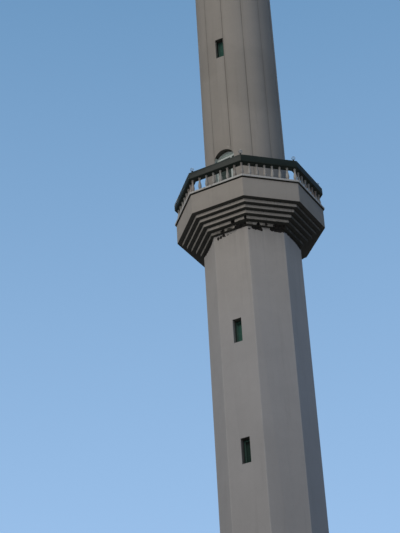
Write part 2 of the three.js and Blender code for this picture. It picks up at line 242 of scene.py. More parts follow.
class MinaretBalconySizes(PropertyGroup):
    """Sizes of the balcony"""
    drip_set_back: length("Drip Set Back", "How far the dark drip lies behind the edge", 0.045)
    drip_height: length("Drip Height", "Height of the drip under the deck's edge", 0.015)
    deck_arris: length("Deck Arris", "Rounding of the deck's edge", 0.003)
    baluster_ring: length("Baluster Ring", "Distance from the axis to a corner baluster", 1.3425)
    baluster_gaps: IntProperty(name="Baluster Gaps", description="Balusters on each side", default=7,
                               min=1)
    base_rail_width: length("Base Rail Width", "Width of the rail under the balusters", 0.075)
    base_rail_height: length("Base Rail Height", "Height of the rail under the balusters", 0.025)
    coping_width: length("Coping Width", "Width of the handrail", 0.15)
    coping_height: length("Coping Height", "Height of the handrail", 0.1425)
    coping_arris: length("Coping Arris", "Rounding of the handrail's edges", 0.009)
    lamp_radius: length("Lamp Radius", "Radius of the globe of a corner lamp", 0.0375)
    lamp_height: length("Lamp Height", "Height of a corner lamp", 0.14)


class MinaretOpeningSizes(PropertyGroup):
    """Sizes of the doors and windows"""
    window_frame: length("Window Frame", "Width of a slit window's frame", 0.0175)
    window_sash: length("Window Sash", "Width of the sash inside the frame", 0.010)
    door_azimuth: amount("Door Azimuth", "Azimuth of the balcony door, in degrees", -6.5)
    door_spring: length("Door Springing", "Height above the ground where the door's arch starts", 16.24)
    door_rise: length("Door Rise", "Height of the door's arch", 0.175)
    door_half: length("Door Half Width", "Half the width of the balcony door's opening", 0.225)
    casing: length("Casing", "Width of a door frame", 0.03)
    lining: length("Lining", "Thickness of the white boards on the jambs of the balcony door", 0.005)
    lining_depth: length("Lining Depth", "How far the jamb boards reach toward the wall's face", 0.062)
    lining_top: length("Lining Top", "Height above the ground of the top of the jamb boards", 16.33)
    transom_top: length("Transom Top", "Height above the ground of the transom's top", 16.315)
    transom_height: length("Transom Height", "Height of the transom", 0.04)
    mullion_start: length("Mullion Start", "Distance from the door's middle to its mullion", 0.095)
    mullion_width: length("Mullion Width", "Width of the mullion", 0.035)
    leaf: length("Leaf", "Thickness of a door leaf", 0.0225)
    glass: length("Glass", "Thickness of the fanlight", 0.010)


class MinaretColours(PropertyGroup):
    """Colours of the finishes"""
    plaster: colour("Plaster", "Cement plaster of the balcony and the upper shaft", (0.475, 0.43, 0.375))
    shaft_plaster: colour("Shaft Plaster", "Paler plaster of the octagonal shaft", (0.475, 0.456, 0.443))
    # Also the colour of the painted highlight on the octagonal shaft's upright corners
    plaster_light: colour("Light Plaster", "Rubbed arrises and salts on the plaster", (0.62, 0.60, 0.575))
    # Grime, and also the colour of the painted shade on undersides, in recesses and on the side that gets
    # least sun
    grime_and_shade: colour("Grime", "Dirt under the ledges and in the hollows", (0.045, 0.042, 0.032))
    broken: colour("Broken Core", "Damp core where plaster has fallen off", (0.035, 0.030, 0.026))
    concrete: colour("Concrete", "Bare concrete", (0.40, 0.39, 0.37))
    cream: colour("Cream", "Chalky paint of the deck's edge", (0.66, 0.64, 0.60))
    baluster: colour("Baluster", "Worn paint of the balusters", (0.50, 0.475, 0.43))
    rust: colour("Rust", "Rust and brown stains", (0.26, 0.10, 0.05))
    coping: colour("Coping", "Dark green paint of the handrail", (0.027, 0.036, 0.029))
    window: colour("Window", "Green paint of the slit windows", (0.031, 0.10, 0.077))
    white: colour("White", "White paint of the door frames", (0.80, 0.87, 0.82))
    door: colour("Door", "Dark green paint of the doors", (0.022, 0.050, 0.038))
    glass: colour("Glass", "Dusty pale green glass", (0.60, 0.72, 0.66))
    lamp_glass: colour("Lamp Glass", "Clear glass of the corner lamps", (0.42, 0.50, 0.56))
    cap: colour("Cap", "Green sheet metal of the cap", (0.060, 0.150, 0.105))
    brass: colour("Finial", "Dull metal of the finial", (0.40, 0.34, 0.20))
    floor: colour("Floor", "Pale studio floor", (0.80, 0.79, 0.77))
    backdrop_low: colour("Backdrop Low", "Backdrop near the horizon", (0.395, 0.612, 0.93))
    backdrop_high: colour("Backdrop High", "Backdrop higher up", (0.1175, 0.268, 0.475))


class MinaretStage(PropertyGroup):
    """Camera and light"""
    camera_distance: length("Camera Distance", "Distance of the camera from the tower's axis", 22.33)
    camera_height: length("Camera Height", "Height of the camera above the floor", 0.8)
    camera_azimuth: amount("Camera Azimuth", "Where the camera stands, in degrees", 25.62)
    camera_turn: amount("Camera Turn", "How far the camera looks past the axis, in degrees", 2.54)
    camera_pitch: amount("Camera Pitch", "How far the camera looks up, in degrees", 31.08)
    camera_roll: amount("Camera Roll", "How far the camera leans, in degrees", 3.18)
    focal_length: amount("Focal Length", "Focal length in pixels of a frame 533 pixels high", 1400)
    key: amount("Key", "Strength of the key light", 1.0)
    fill: amount("Fill", "Strength of the cool side light", 0.226)
    back: amount("Back", "Strength of the light behind the tower", 0.8)
    top: amount("Top", "Strength of the light from overhead", 0.6)
    sky: amount("Sky", "Strength of the soft light from all round", 0.16)


GROUPS = {
    "minaret_walls": MinaretWallSizes,
    "minaret_balcony": MinaretBalconySizes,
    "minaret_openings": MinaretOpeningSizes,
    "minaret_colours": MinaretColours,
    "minaret_stage": MinaretStage,
}


# Modelling

def only(*pieces):
    """Selects these pieces and nothing else, with the last one active."""
    bpy.ops.object.select_all(action="DESELECT")
    for piece in pieces:
        piece.select_set(True)
    bpy.context.view_layer.objects.active = pieces[-1]


def named(piece, name):
    """Gives a piece and its mesh a name."""
    piece.name = name
    piece.data.name = name
    return piece


def settled(piece):
    """Moves a piece's place, turn and scale into its mesh."""
    only(piece)
    bpy.ops.object.transform_apply(location=True, rotation=True, scale=True)
    return piece


def moved(piece, place=(0, 0, 0), tip=0.0, turn=0.0):
    """Tips a piece about X and turns it about Z by degrees, moves it, and settles it."""
    piece.rotation_euler = (math.radians(tip), 0, math.radians(turn))
    piece.location = place
    return settled(piece)


def start(primitive, name, **sizes):
    """Adds a primitive at its size and place, named."""
    bpy.ops.object.select_all(action="DESELECT")
    primitive(**sizes)
    return settled(named(bpy.context.object, name))


@contextmanager
def shaping(piece):
    """Edit mode on one piece, with nothing selected in it."""
    only(piece)
    bpy.ops.object.mode_set(mode="EDIT")
    bpy.ops.mesh.select_mode(type="VERT")
    bpy.ops.mesh.select_all(action="DESELECT")
    yield
    bpy.ops.object.mode_set(mode="OBJECT")


def pick(kind, test):
    """Selects the vertices, edges or faces that pass a test, and gives their number."""
    bpy.ops.mesh.select_mode(type=kind)
    bpy.ops.mesh.select_all(action="DESELECT")
    data = bpy.context.edit_object.data
    mesh = bmesh.from_edit_mesh(data)
    mesh.normal_update()
    parts = {"VERT": mesh.verts, "EDGE": mesh.edges, "FACE": mesh.faces}[kind]
    found = [part for part in parts if test(part)]
    for part in found:
        part.select_set(True)
    mesh.select_flush_mode()
    bmesh.update_edit_mesh(data)
    return len(found)


def middle(edge):
    """The middle of an edge."""
    return (edge.verts[0].co + edge.verts[1].co) / 2


def is_sharp(edge):
    """Whether the faces of an edge meet at an angle."""
    return edge.calc_face_angle(0) > SHARP


def is_upright(edge):
    """Whether an edge runs straight up."""
    run = edge.verts[1].co - edge.verts[0].co
    return abs(run.z) > 0.99 * run.length


def reach(point):
    """The distance of a point from the tower's axis."""
    return math.hypot(point.x, point.y)


def azimuth_of(point):
    """The azimuth of a point in degrees."""
    return math.degrees(math.atan2(point.x, -point.y))


def select_whole():
    """Selects the whole mesh, in edit mode."""
    bpy.ops.mesh.select_all(action="SELECT")


def tidy_mesh():
    """Merges doubles and turns all faces outward, in edit mode."""
    select_whole()
    bpy.ops.mesh.remove_doubles(threshold=0.00001)
    bpy.ops.mesh.normals_make_consistent(inside=False)


def extruded(*shift):
    """Extrudes what is selected by a shift."""
    bpy.ops.mesh.extrude_region_move(TRANSFORM_OT_translate={"value": shift})


def turned(name, profile, corners, ring=True, first_corner=0.0):
    """A form turned about the axis from [radius, height] points, as a ring or as a capped solid."""
    radius, height = profile[0]
    piece = start(bpy.ops.mesh.primitive_circle_add, name, vertices=corners, radius=radius,
                  location=(0, 0, height), rotation=(0, 0, math.radians(first_corner)))
    path = [*profile[1:], profile[0]] if ring else profile[1:]
    with shaping(piece):
        select_whole()
        for next_radius, next_height in path:
            extruded(0, 0, next_height - height)
            spread = next_radius / radius
            bpy.ops.transform.resize(value=(spread, spread, 1), center_override=(0, 0, next_height))
            radius, height = next_radius, next_height
        select_whole()
        if not ring:
            bpy.ops.mesh.fill_holes(sides=0)
        tidy_mesh()
    return piece


def raised(points, low, high):
    """Points whose heights are shares of the way between two heights, with their heights in metres."""
    return [(radius, low + share * (high - low)) for radius, share in points]


def octagonal(name, profile, ring=True):
    """An octagonal form with a flat side to the front."""
    return turned(name, profile, SIDES, ring, SIDE_ANGLE / 2)


def hollow(name, radius, low, high):
    """An octagonal ring between two heights, from the shaft's bore out to a corner radius."""
    bore = (shaft_face() - bpy.context.scene.minaret_walls.lower_wall) / FLAT
    return octagonal(name, [(radius, low), (radius, high), (bore, high), (bore, low)])


def block(name, low, high):
    """A box between two corners."""
    low, high = Vector(low), Vector(high)
    centre = (low + high) / 2
    return start(bpy.ops.mesh.primitive_cube_add, name, size=1, location=centre, scale=high - low)


def arch(name, half, rise, spring, bottom, inner, outer):
    """An upright plate with a half-elliptical head, facing the front between two distances."""
    piece = start(bpy.ops.mesh.primitive_circle_add, name, vertices=64, radius=1)
    with shaping(piece):
        select_whole()
        bpy.ops.transform.resize(value=(half, rise, 1), center_override=(0, 0, 0))
        pick("VERT", lambda vertex: vertex.co.y < -CLOSE)
        bpy.ops.mesh.delete(type="VERT")
        pick("VERT", lambda vertex: abs(vertex.co.y) < CLOSE)
        extruded(0, bottom - spring, 0)
        select_whole()
        bpy.ops.mesh.edge_face_add()
        extruded(0, 0, outer - inner)
        tidy_mesh()
    return moved(piece, (0, -inner, spring), 90)


def trim(piece, point, outward):
    """Cuts away what lies beyond a plane, and closes the cut."""
    with shaping(piece):
        select_whole()
        bpy.ops.mesh.bisect(plane_co=point, plane_no=outward, use_fill=True, clear_outer=True)
        tidy_mesh()


def score(piece, point, normal):
    """Divides the faces along a plane."""
    with shaping(piece):
        select_whole()
        bpy.ops.mesh.bisect(plane_co=point, plane_no=normal)


def carve(piece, cutter):
    """Cuts a piece with another one, which is used up."""
    modifier = piece.modifiers.new("carve", "BOOLEAN")
    modifier.operation = "DIFFERENCE"
    modifier.solver = "EXACT"
    modifier.material_mode = "TRANSFER" if cutter.data.materials else "INDEX"
    modifier.object = cutter
    only(piece)
    bpy.ops.object.modifier_apply(modifier=modifier.name)
    bpy.data.objects.remove(cutter)


def soften(piece, width, steps, test=lambda edge: True):
    """Rounds the sharp edges, or those of them that pass a test."""
    with shaping(piece):
        if pick("EDGE", lambda edge: is_sharp(edge) and test(edge)):
            bpy.ops.mesh.bevel(offset=width, segments=steps, affect="EDGES", clamp_overlap=True)


def further_out(limit):
    """A test for edges that lie further from the axis than a limit."""
    return lambda edge: reach(middle(edge)) > limit


def unit(axis):
    """A vector of length 1 along an axis, by its number."""
    return Vector([number == axis for number in range(3)])


def copied(piece, name, turn=0.0, shift=(0, 0, 0)):
    """A copy with its own mesh, shifted and then turned about the axis by degrees."""
    only(piece)
    bpy.ops.object.duplicate(linked=False)
    place = Matrix.Rotation(math.radians(turn), 3, "Z") @ Vector(shift)
    return moved(named(bpy.context.object, name), place, turn=turn)


def joined(pieces, name):
    """One piece made of several."""
    only(*pieces)
    bpy.ops.object.join()
    return named(bpy.context.object, name)


def coated(piece, looks):
    """Gives a piece the materials that it doesn't have yet."""
    for look in looks[len(piece.data.materials):]:
        piece.data.materials.append(material(look))


def painted(piece, looks, nodes=(), smooth=True):
    """Gives a piece its materials and its body, and hides the solids that it stands for."""
    coated(piece, looks)
    only(piece)
    if smooth:
        bpy.ops.object.shade_smooth_by_angle(angle=SHARP)
    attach(piece, "root")
    if nodes:
        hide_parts(*nodes)


def give(piece, index, test):
    """Gives the faces that pass a test another of the piece's materials."""
    piece.active_material_index = index
    with shaping(piece):
        pick("FACE", test)
        bpy.ops.object.material_slot_assign()


# Materials

class Value:
    """A number or a vector that varies over a surface. Sums on it add the nodes that they need."""

    def __init__(self, nodes, socket):
        self.nodes = nodes
        self.socket = socket

    def maths(self, operation, *others):
        """One maths node on this value and up to two more."""
        values = dict(enumerate((self, *others)))
        return self.nodes.node("ShaderNodeMath", {"operation": operation}, values)

    def reflected(self, operation, other):
        """One maths node with this value second."""
        return self.nodes.node("ShaderNodeMath", {"operation": operation}, {0: other, 1: self})

    __add__, __radd__ = partialmethod(maths, "ADD"), partialmethod(reflected, "ADD")
    __sub__, __rsub__ = partialmethod(maths, "SUBTRACT"), partialmethod(reflected, "SUBTRACT")
    __mul__, __rmul__ = partialmethod(maths, "MULTIPLY"), partialmethod(reflected, "MULTIPLY")
    __truediv__, __rtruediv__ = partialmethod(maths, "DIVIDE"), partialmethod(reflected, "DIVIDE")

    def between(self, low, high):
        """Rises smoothly from 0 at one value to 1 at another."""
        return self.nodes.node("ShaderNodeMapRange", {"interpolation_type": "SMOOTHSTEP"},
                              {"Value": self, "From Min": low, "From Max": high})

    def larger(self, other):
        """The larger of two values."""
        return self.maths("MAXIMUM", other)

    def at_most_one(self):
        """The value, held between 0 and 1."""
        return self.nodes.node("ShaderNodeClamp", {}, {"Value": self})


class Nodes:
    """One node tree."""

    def __init__(self, owner):
        owner.use_nodes = True
        self.tree = owner.node_tree
        self.tree.nodes.clear()

    def node(self, kind, settings=None, inputs=None, output=0):
        """Adds a node, sets its settings and then its sockets, and gives one of its outputs."""
        node = self.tree.nodes.new(kind)
        for name, value in (settings or {}).items():
            setattr(node, name, value)
        for name, value in (inputs or {}).items():
            if isinstance(value, Value):
                self.tree.links.new(value.socket, node.inputs[name])
            else:
                node.inputs[name].default_value = value
        return Value(self, node.outputs[output]) if len(node.outputs) else node

    def vectors(self, operation, *values, output="Vector"):
        """One vector maths node."""
        sockets = dict(enumerate(values))
        return self.node("ShaderNodeVectorMath", {"operation": operation}, sockets, output)


class Look(Nodes):
    """One material with its nodes. A colour in it is a value, or the name of one of the finishes."""

    def __init__(self, name):
        self.material = bpy.data.materials.new(f"minaret_{name}")
        super().__init__(self.material)
        self.place = self.node("ShaderNodeTexCoord", output="Object")
        self.x, self.y, self.z = [self.node("ShaderNodeSeparateXYZ", {}, {"Vector": self.place}, axis)
                                  for axis in range(3)]

    def noise(self, scale, detail=3.0, roughness=0.55, distortion=0.0, stretch=None):
        """Cloudy noise from 0 to 1 with so many lumps a metre, on axes that may be scaled."""
        place = self.place
        if stretch:
            place = self.node("ShaderNodeMapping", {}, {"Vector": place, "Scale": stretch})
        return self.node("ShaderNodeTexNoise", {}, {"Vector": place, "Scale": scale, "Detail": detail,
                                                    "Roughness": roughness, "Distortion": distortion})

    def cracks(self, scale, width, wander=0.08):
        """Thin lines between cells, 1 on a line."""
        shift = self.node("ShaderNodeTexNoise", {}, {"Vector": self.place, "Scale": scale * 3}, "Color")
        bent = self.vectors("MULTIPLY_ADD", shift, (wander, wander, wander), self.place)
        cells = self.node("ShaderNodeTexVoronoi", {"feature": "DISTANCE_TO_EDGE"},
                          {"Vector": bent, "Scale": scale})
        return 1 - cells.between(0, width)

    def mixed(self, first, second, factor):
        """A colour between two, by a factor."""
        first, second = [palette(value, 1) for value in (first, second)]
        return self.node("ShaderNodeMix", {"data_type": "RGBA"}, {0: factor, 6: first, 7: second}, 2)

    def shaded(self, colour, factor):
        """A colour made darker or lighter by a factor round 1."""
        grey = self.node("ShaderNodeCombineXYZ", {}, {0: factor, 1: factor, 2: factor})
        return self.vectors("MULTIPLY", palette(colour), grey)

    def facing(self, direction):
        """How far a face looks in a direction: 1 toward it, -1 away from it."""
        normal = self.node("ShaderNodeNewGeometry", output="Normal")
        return self.vectors("DOT_PRODUCT", normal, tuple(direction), output="Value")

    def facing_down(self):
        """1 on undersides, 0 on upright and upper faces."""
        return self.facing((0, 0, -1)).between(0.3, 0.7)

    def facing_up(self):
        """1 on upper faces, 0 on upright faces and undersides."""
        return self.facing((0, 0, 1)).between(0.3, 0.8)

    def within(self, low, high):
        """1 from just over one height up to another."""
        return self.z.between(low, low + 0.06) * (1 - self.z.between(high, high + 0.01))

    def soiled(self):
        """1 at the height of the window that is dirtier than the others."""
        low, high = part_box(f"slit_window_{SOILED_WINDOW}")
        return self.within(low.z - 0.1, high.z)

    def reveal_shade_and_soil(self, face):
        """Rises to 1 deep in the window openings from 0 at the wall's face, as painted shade in the
        recesses, and sooner in the soiled one, where it is dirt.
        """
        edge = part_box("slit_window_1")[1].x
        aside = 1 - self.x.maths("ABSOLUTE").between(edge + GAP, edge + 2 * CLOSE)
        front = 1 - self.y.between(-0.6, -0.5)
        depth = self.y + face
        soiled = self.soiled() * depth.between(0.004, 0.016) * 0.7
        return aside * front * depth.between(0.060, 0.080).larger(soiled)

    def blots(self, spots, wander=0.10):
        """1 within ragged blots, each with its middle and its radius."""
        ragged = (self.noise(14, 5, 0.75, 0.8) - 0.5) * wander
        found = None
        for spot, radius in spots:
            distance = self.vectors("DISTANCE", self.place, tuple(spot), output="Value")
            blot = 1 - (distance + ragged).between(radius * 0.6, radius)
            found = blot if found is None else found.larger(blot)
        return found

    def corner_distance(self, corners, first, radius):
        """The distance in metres from the nearest of the upright lines at even azimuths."""
        share = self.x.maths("ARCTAN2", 0 - self.y) * (corners / math.tau) - first * corners / 360
        return share.maths("PINGPONG", 0.5) * (math.tau / corners * radius)

    def finished(self, colour, roughness, height=None, depth=0.002, strength=1.0, **constants):
        """Joins everything in one shader."""
        sockets = {"Base Color": colour, "Roughness": roughness}
        sockets.update({name.replace("_", " "): value for name, value in constants.items()})
        if height is not None:
            sockets["Normal"] = self.node("ShaderNodeBump", {}, {"Height": height, "Distance": depth,
                                                                 "Strength": strength})
        shader = self.node("ShaderNodeBsdfPrincipled", {}, sockets)
        self.node("ShaderNodeOutputMaterial", {}, {"Surface": shader})
        return self.material


def palette(colour, *more):
    """A value as it is, or the named colour of the finishes, with more numbers after it."""
    if isinstance(colour, Value):
        return colour
    return (*getattr(bpy.context.scene.minaret_colours, colour), *more)


LOOKS = {}


def finish(maker):
    """Lists a function that fills in a material, under the function's name."""
    LOOKS[maker.__name__] = maker
    return maker


def plaster_skin(look, tint):
    """The weathered skin that all plaster shares: its colour, and the height of its grain."""
    clouds = look.noise(1.1, 4, 0.6)
    patches = look.noise(4.5, 5, 0.6, 0.4)
    grain = look.noise(90, 3, 0.6)
    streaks = look.noise(1, 5, 0.65, stretch=(9, 9, 0.5))
    tone = 0.80 + clouds * 0.22 + patches * 0.10 + grain * 0.08
    tint = look.shaded(tint, tone)
    tint = look.mixed(tint, "grime_and_shade", streaks.between(0.52, 0.75) * 0.09)
    pits = look.noise(38, 2, 0.5).between(0.66, 0.74)
    hairlines = look.cracks(0.9, 0.004, 0.25) * look.noise(2.2, 3, 0.6).between(0.56, 0.64)
    tint = look.mixed(tint, "grime_and_shade", (pits * 0.10 + hairlines * 0.12).at_most_one())
    trowel = look.noise(7, 3, 0.5, 0.8, (1, 1, 0.6))
    height = grain * 0.35 + trowel * 0.8 - pits * 0.5 - hairlines * 0.6
    return tint, height


@finish
def wall_plaster(look):
    """Plaster of the octagonal shaft, with rain streaks, a grimy top and foot, painted shade on
    undersides and deep in the window reveals, and rubbed arrises that are partly a painted highlight
    """
    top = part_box("lower_wall_front")[1].z
    warm = look.mixed("shaft_plaster", "plaster", look.z.between(top - 3, top) * 0.6)
    tint, height = plaster_skin(look, warm)
    tint = look.shaded(tint, 0.87 + look.z.between(8, top) * 0.22)
    streaks = look.noise(1, 4, 0.7, stretch=(14, 14, 0.9))
    under_corbel = look.z.between(top - 0.75, top) * streaks.between(0.30, 0.62)
    stains = look.blots([spall_spot(spall) for spall in SPALLS], 0.06)
    foot = 1 - look.z.between(0.1, 1.1)
    splash = foot * look.noise(6, 4, 0.7).between(0.35, 0.65)
    # Painted shade: undersides such as the window heads, and the reveals deep inside the window openings,
    # are mixed toward the grime colour
    reveal_shade_and_soil = look.reveal_shade_and_soil(shaft_face())
    dirt_and_shade = under_corbel * 0.10 + splash * 0.35 + stains * 0.8 + look.facing_down() * 0.9 + reveal_shade_and_soil * 0.75
    tint = look.mixed(tint, "grime_and_shade", dirt_and_shade.at_most_one())
    walls = bpy.context.scene.minaret_walls
    corner = look.corner_distance(SIDES, SIDE_ANGLE / 2, octagon("lower_wall_back")[0])
    # Rubbed arrises: wear, and a painted highlight along the upright corners
    rubbed_and_highlit = 1 - corner.between(walls.arris, walls.arris * 2.4)
    rubbed_and_highlit = rubbed_and_highlit * look.noise(3, 4, 0.7).between(0.30, 0.55)
    tint = look.mixed(tint, "plaster_light", rubbed_and_highlit * 0.28)
    return look.finished(tint, 0.86 + look.noise(12) * 0.12, height, 0.003)


@finish
def upper_plaster(look):
    """Plaster of the lobed upper shaft, dark in the grooves with dirt and painted shade, and with painted
    shade on undersides, in the window reveals, on the side that gets least sun and on the lobes to the
    left
    """
    tint, height = plaster_skin(look, "plaster")
    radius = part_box("upper_wall_back")[1].y
    groove = look.corner_distance(LOBES, FIRST_GROOVE, radius)
    # Dark lines in the grooves: dirt, and painted shade, strongest on the grooves that face the front
    groove_dirt_and_shade = (1 - groove.between(0.005, 0.011)) * look.noise(0.5, 2).between(0.30, 0.55)
    groove_dirt_and_shade = groove_dirt_and_shade * (0.12 + look.facing(on_plan(1, 12)).between(0.65, 0.95) * 0.38)
    # Painted shade on the side that gets least sun
    painted_shade_side = look.facing(on_plan(1, SHADE_SIDE)).between(0.2, 0.8)
    low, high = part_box("upper_wall_back")
    under_cornice = look.z.between(high.z - 0.8, high.z)
    under_cornice = under_cornice * look.noise(1, 4, 0.7, stretch=(12, 12, 0.8))
    seepage = (1 - groove.between(0.012, 0.07)) * look.noise(1, 4, 0.7, stretch=(6, 6, 1.2))
    foot = (1 - look.z.between(low.z, low.z + 0.35)) * look.noise(9, 4, 0.7)
    smudges = look.blots([(on_plan(radius, azimuth) + Vector((0, 0, rise)), size)
                          for azimuth, rise, size in SMUDGES], 0.5)
    dirt_and_shade = groove_dirt_and_shade + under_cornice * 0.4 + seepage * 0.12 + foot * 0.35 + painted_shade_side * 0.22 + smudges * 0.09
    # Painted shade on undersides and deep in the window reveals
    dirt_and_shade = dirt_and_shade + look.facing_down() * 0.9 + look.reveal_shade_and_soil(radius) * 0.75
    # Painted shade: the lobes turned to the left are a little darker
    tint = look.shaded(tint, 1 - look.facing(on_plan(1, -75)).between(0, 0.7) * 0.09)
    tint = look.mixed(tint, "grime_and_shade", dirt_and_shade.at_most_one())
    return look.finished(tint, 0.86 + look.noise(12) * 0.12, height, 0.003)


@finish
def corbel_plaster(look):
    """Plaster of the ledges, with damp and stains, and painted shade, in blotches, on the undersides,
    along the rims of the courses and on the side that gets least sun
    """
    tint, height = plaster_skin(look, "plaster")
    blotches = look.noise(8, 5, 0.7, 0.6)
    low, high = octagon("corbel_course_1")[1], octagon("corbel_course_3")[1]
    damp = (1 - look.z.between(low, high)) * blotches.between(0.42, 0.56)
    # Painted shade: the undersides of the courses go almost wholly to the grime colour
    underside_shade = look.facing_down() * (blotches * 0.12 + 0.90)
    courses = 1 - look.z.between(octagon("balcony_band")[1] - GAP, octagon("balcony_band")[1])
    # Painted shade on the side that gets least sun, stronger and blotchy on the courses
    painted_shade_side = look.facing(on_plan(1, SHADE_SIDE)).between(0.4, 0.8)
    painted_shade_side = painted_shade_side * (0.25 + courses * (0.35 + blotches * 0.4))
    stains = look.blots([stain_spot(stain) for stain in STAINS])
    edge = look.noise(25, 3, 0.6).between(0.58, 0.66) * courses * 0.25
    step = (octagon("balcony_band")[1] - low) / COURSES
    # Painted shade along the top and bottom rims of each course's face, next to the ledges
    rim_shade = (1 - ((look.z - low) / step).maths("PINGPONG", 0.5).between(0.04, 0.20)) * courses
    # Painted light and shade: the courses' front faces lighter and their left faces darker; the top
    # course a little lighter
    topmost = look.z.between(low + (COURSES - 1.1) * step, low + (COURSES - 0.9) * step)
    painted_light_front = look.facing(on_plan(1, 0)).between(0.85, 0.95) * 0.12
    painted_shade_left = look.facing(on_plan(1, -SIDE_ANGLE)).between(0.85, 0.95) * 0.08
    tint = look.shaded(tint, 1 + courses * (painted_light_front + topmost * 0.10 - painted_shade_left))
    dirt_and_shade = underside_shade + damp * 0.55 + stains * 0.85 + painted_shade_side + edge + rim_shade * 0.55
    tint = look.mixed(tint, "grime_and_shade", dirt_and_shade.at_most_one())
    # Painted shade: the undersides darkened further, more toward +X
    tint = look.shaded(tint, 1 - look.facing_down() * (0.36 + look.x.between(0.2, 1.0) * 0.16))
    return look.finished(tint, 0.90, height, 0.004)


@finish
def broken_core(look):
    """Damp rubble where plaster has fallen off"""
    lumps = look.noise(45, 5, 0.7)
    tint = look.shaded("broken", 0.5 + lumps)
    tint = look.mixed(tint, "plaster", look.noise(60, 3).between(0.62, 0.70) * 0.25)
    return look.finished(tint, 0.95, lumps, 0.012)


@finish
def bare_concrete(look):
    """Concrete of the floor and the deck, with water stains"""
    clouds = look.noise(2.5, 5, 0.65)
    grain = look.noise(120, 3)
    tint = look.shaded("concrete", 0.72 + clouds * 0.35 + grain * 0.15)
    stains = look.noise(5, 5, 0.7, 1.0).between(0.55, 0.68)
    tint = look.mixed(tint, "grime_and_shade", stains * 0.35 + look.cracks(1.6, 0.004) * 0.3)
    return look.finished(tint, 0.80 + clouds * 0.18, grain + clouds * 0.6, 0.003)


@finish
def cream_paint(look):
    """Chalky paint with worn and rusty places, and painted shade on the undersides"""
    one_by_one = look.noise(6, 0, 0.5, stretch=(1, 1, 0))
    tint = look.shaded("baluster", 0.62 + look.noise(14, 4, 0.6) * 0.26 + one_by_one * 0.50)
    worn = look.noise(22, 5, 0.7, 0.5).between(0.56, 0.66)
    tint = look.mixed(tint, "plaster", worn * 0.8)
    rusty = look.noise(2.6, 2, 0.5).between(0.54, 0.66) * look.noise(30, 4, 0.7).between(0.38, 0.60)
    tint = look.mixed(tint, "rust", rusty * 0.45)
    # Painted shade on the undersides
    tint = look.mixed(tint, "grime_and_shade", look.facing_down() * 0.7)
    height = look.noise(70, 3) - worn * 0.7
    return look.finished(tint, 0.70 + worn * 0.2, height, 0.0015)


@finish
def edge_paint(look):
    """Pale paint on the deck's edge, with drip marks and painted shade on its underside"""
    tint = look.shaded("cream", 0.80 + look.noise(9, 4, 0.6) * 0.30)
    drips = look.noise(1, 3, 0.6, stretch=(26, 26, 2)).between(0.56, 0.68)
    # Drip marks, and painted shade on the underside
    dirt_and_shade = (drips * 0.35 + look.facing_down()).at_most_one()
    tint = look.mixed(tint, "grime_and_shade", dirt_and_shade)
    return look.finished(tint, 0.75, look.noise(60, 3), 0.0015)


@finish
def dark_recess(look):
    """Concrete in the drip under the deck's edge, painted grime-black as its shade"""
    tint = look.shaded("grime_and_shade", 0.5 + look.noise(12, 4))
    return look.finished(tint, 0.95, look.noise(50, 3), 0.002)


@finish
def coping_paint(look):
    """Dark green gloss paint, dusty on top and dull below"""
    brush = look.noise(1, 4, 0.6, stretch=(6, 6, 60))
    clouds = look.noise(5, 4, 0.6)
    tint = look.shaded("coping", 0.65 + clouds * 0.7)
    dust = look.facing_up() * (look.noise(10, 4, 0.7) * 0.5 + 0.15)
    tint = look.mixed(tint, "plaster", dust)
    chips = look.noise(28, 5, 0.75).between(0.68, 0.71)
    tint = look.mixed(tint, "concrete", chips * 0.5)
    roughness = (0.30 + clouds * 0.18 + dust * 0.4 + chips * 0.3 + look.facing_down() * 0.3).at_most_one()
    return look.finished(tint, roughness, brush * 0.5 - chips, 0.0012,
                         Coat_Weight=0.05, Specular_IOR_Level=0.3)


@finish
def window_paint(look):
    """Green gloss paint of the window frames, chalking in the sun"""
    chalk = look.noise(30, 4, 0.6)
    tint = look.shaded("window", 0.6 + chalk * 0.8)
    rusty = look.noise(55, 4, 0.7).between(0.62, 0.68)
    tint = look.mixed(tint, "rust", rusty * 0.4)
    return look.finished(tint, 0.38 + chalk * 0.2, chalk - rusty, 0.0008)


@finish
def window_pane(look):
    """Hazy green pane, in shade under the opening's head and dirtier in the soiled window"""
    haze = look.noise(16, 4, 0.6)
    tint = look.shaded("window", 0.95 + haze * 0.55)
    tint = look.mixed(tint, "plaster", haze.between(0.5, 0.8) * 0.06)
    shadow = sum(look.within(high.z - 0.11, high.z) for _, high in window_boxes(1, LOWER_WINDOWS))
    tint = look.shaded(tint, (1 - shadow * 0.65) * (1 - look.soiled() * 0.70))
    return look.finished(tint, 0.42 + haze * 0.25, look.noise(5, 2), 0.002, Specular_IOR_Level=0.1)


@finish
def white_paint(look):
    """White gloss paint with yellowed joints"""
    clouds = look.noise(12, 4, 0.6)
    tint = look.shaded("white", 0.82 + clouds * 0.26)
    tint = look.mixed(tint, "grime_and_shade", look.noise(26, 5, 0.7, 0.6).between(0.60, 0.70) * 0.35)
    brush = look.noise(1, 3, 0.6, stretch=(120, 120, 4))
    return look.finished(tint, 0.40 + clouds * 0.2, brush, 0.0006)


@finish
def door_paint(look):
    """Dark green gloss paint of the doors, with brush marks and scuffs"""
    clouds = look.noise(9, 4, 0.6)
    tint = look.shaded("door", 0.65 + clouds * 0.7)
    scuffs = look.noise(34, 5, 0.75, 0.8).between(0.64, 0.69)
    tint = look.mixed(tint, "plaster", scuffs * 0.25)
    brush = look.noise(1, 3, 0.6, stretch=(140, 140, 5))
    return look.finished(tint, 0.32 + clouds * 0.22, brush - scuffs, 0.0008)


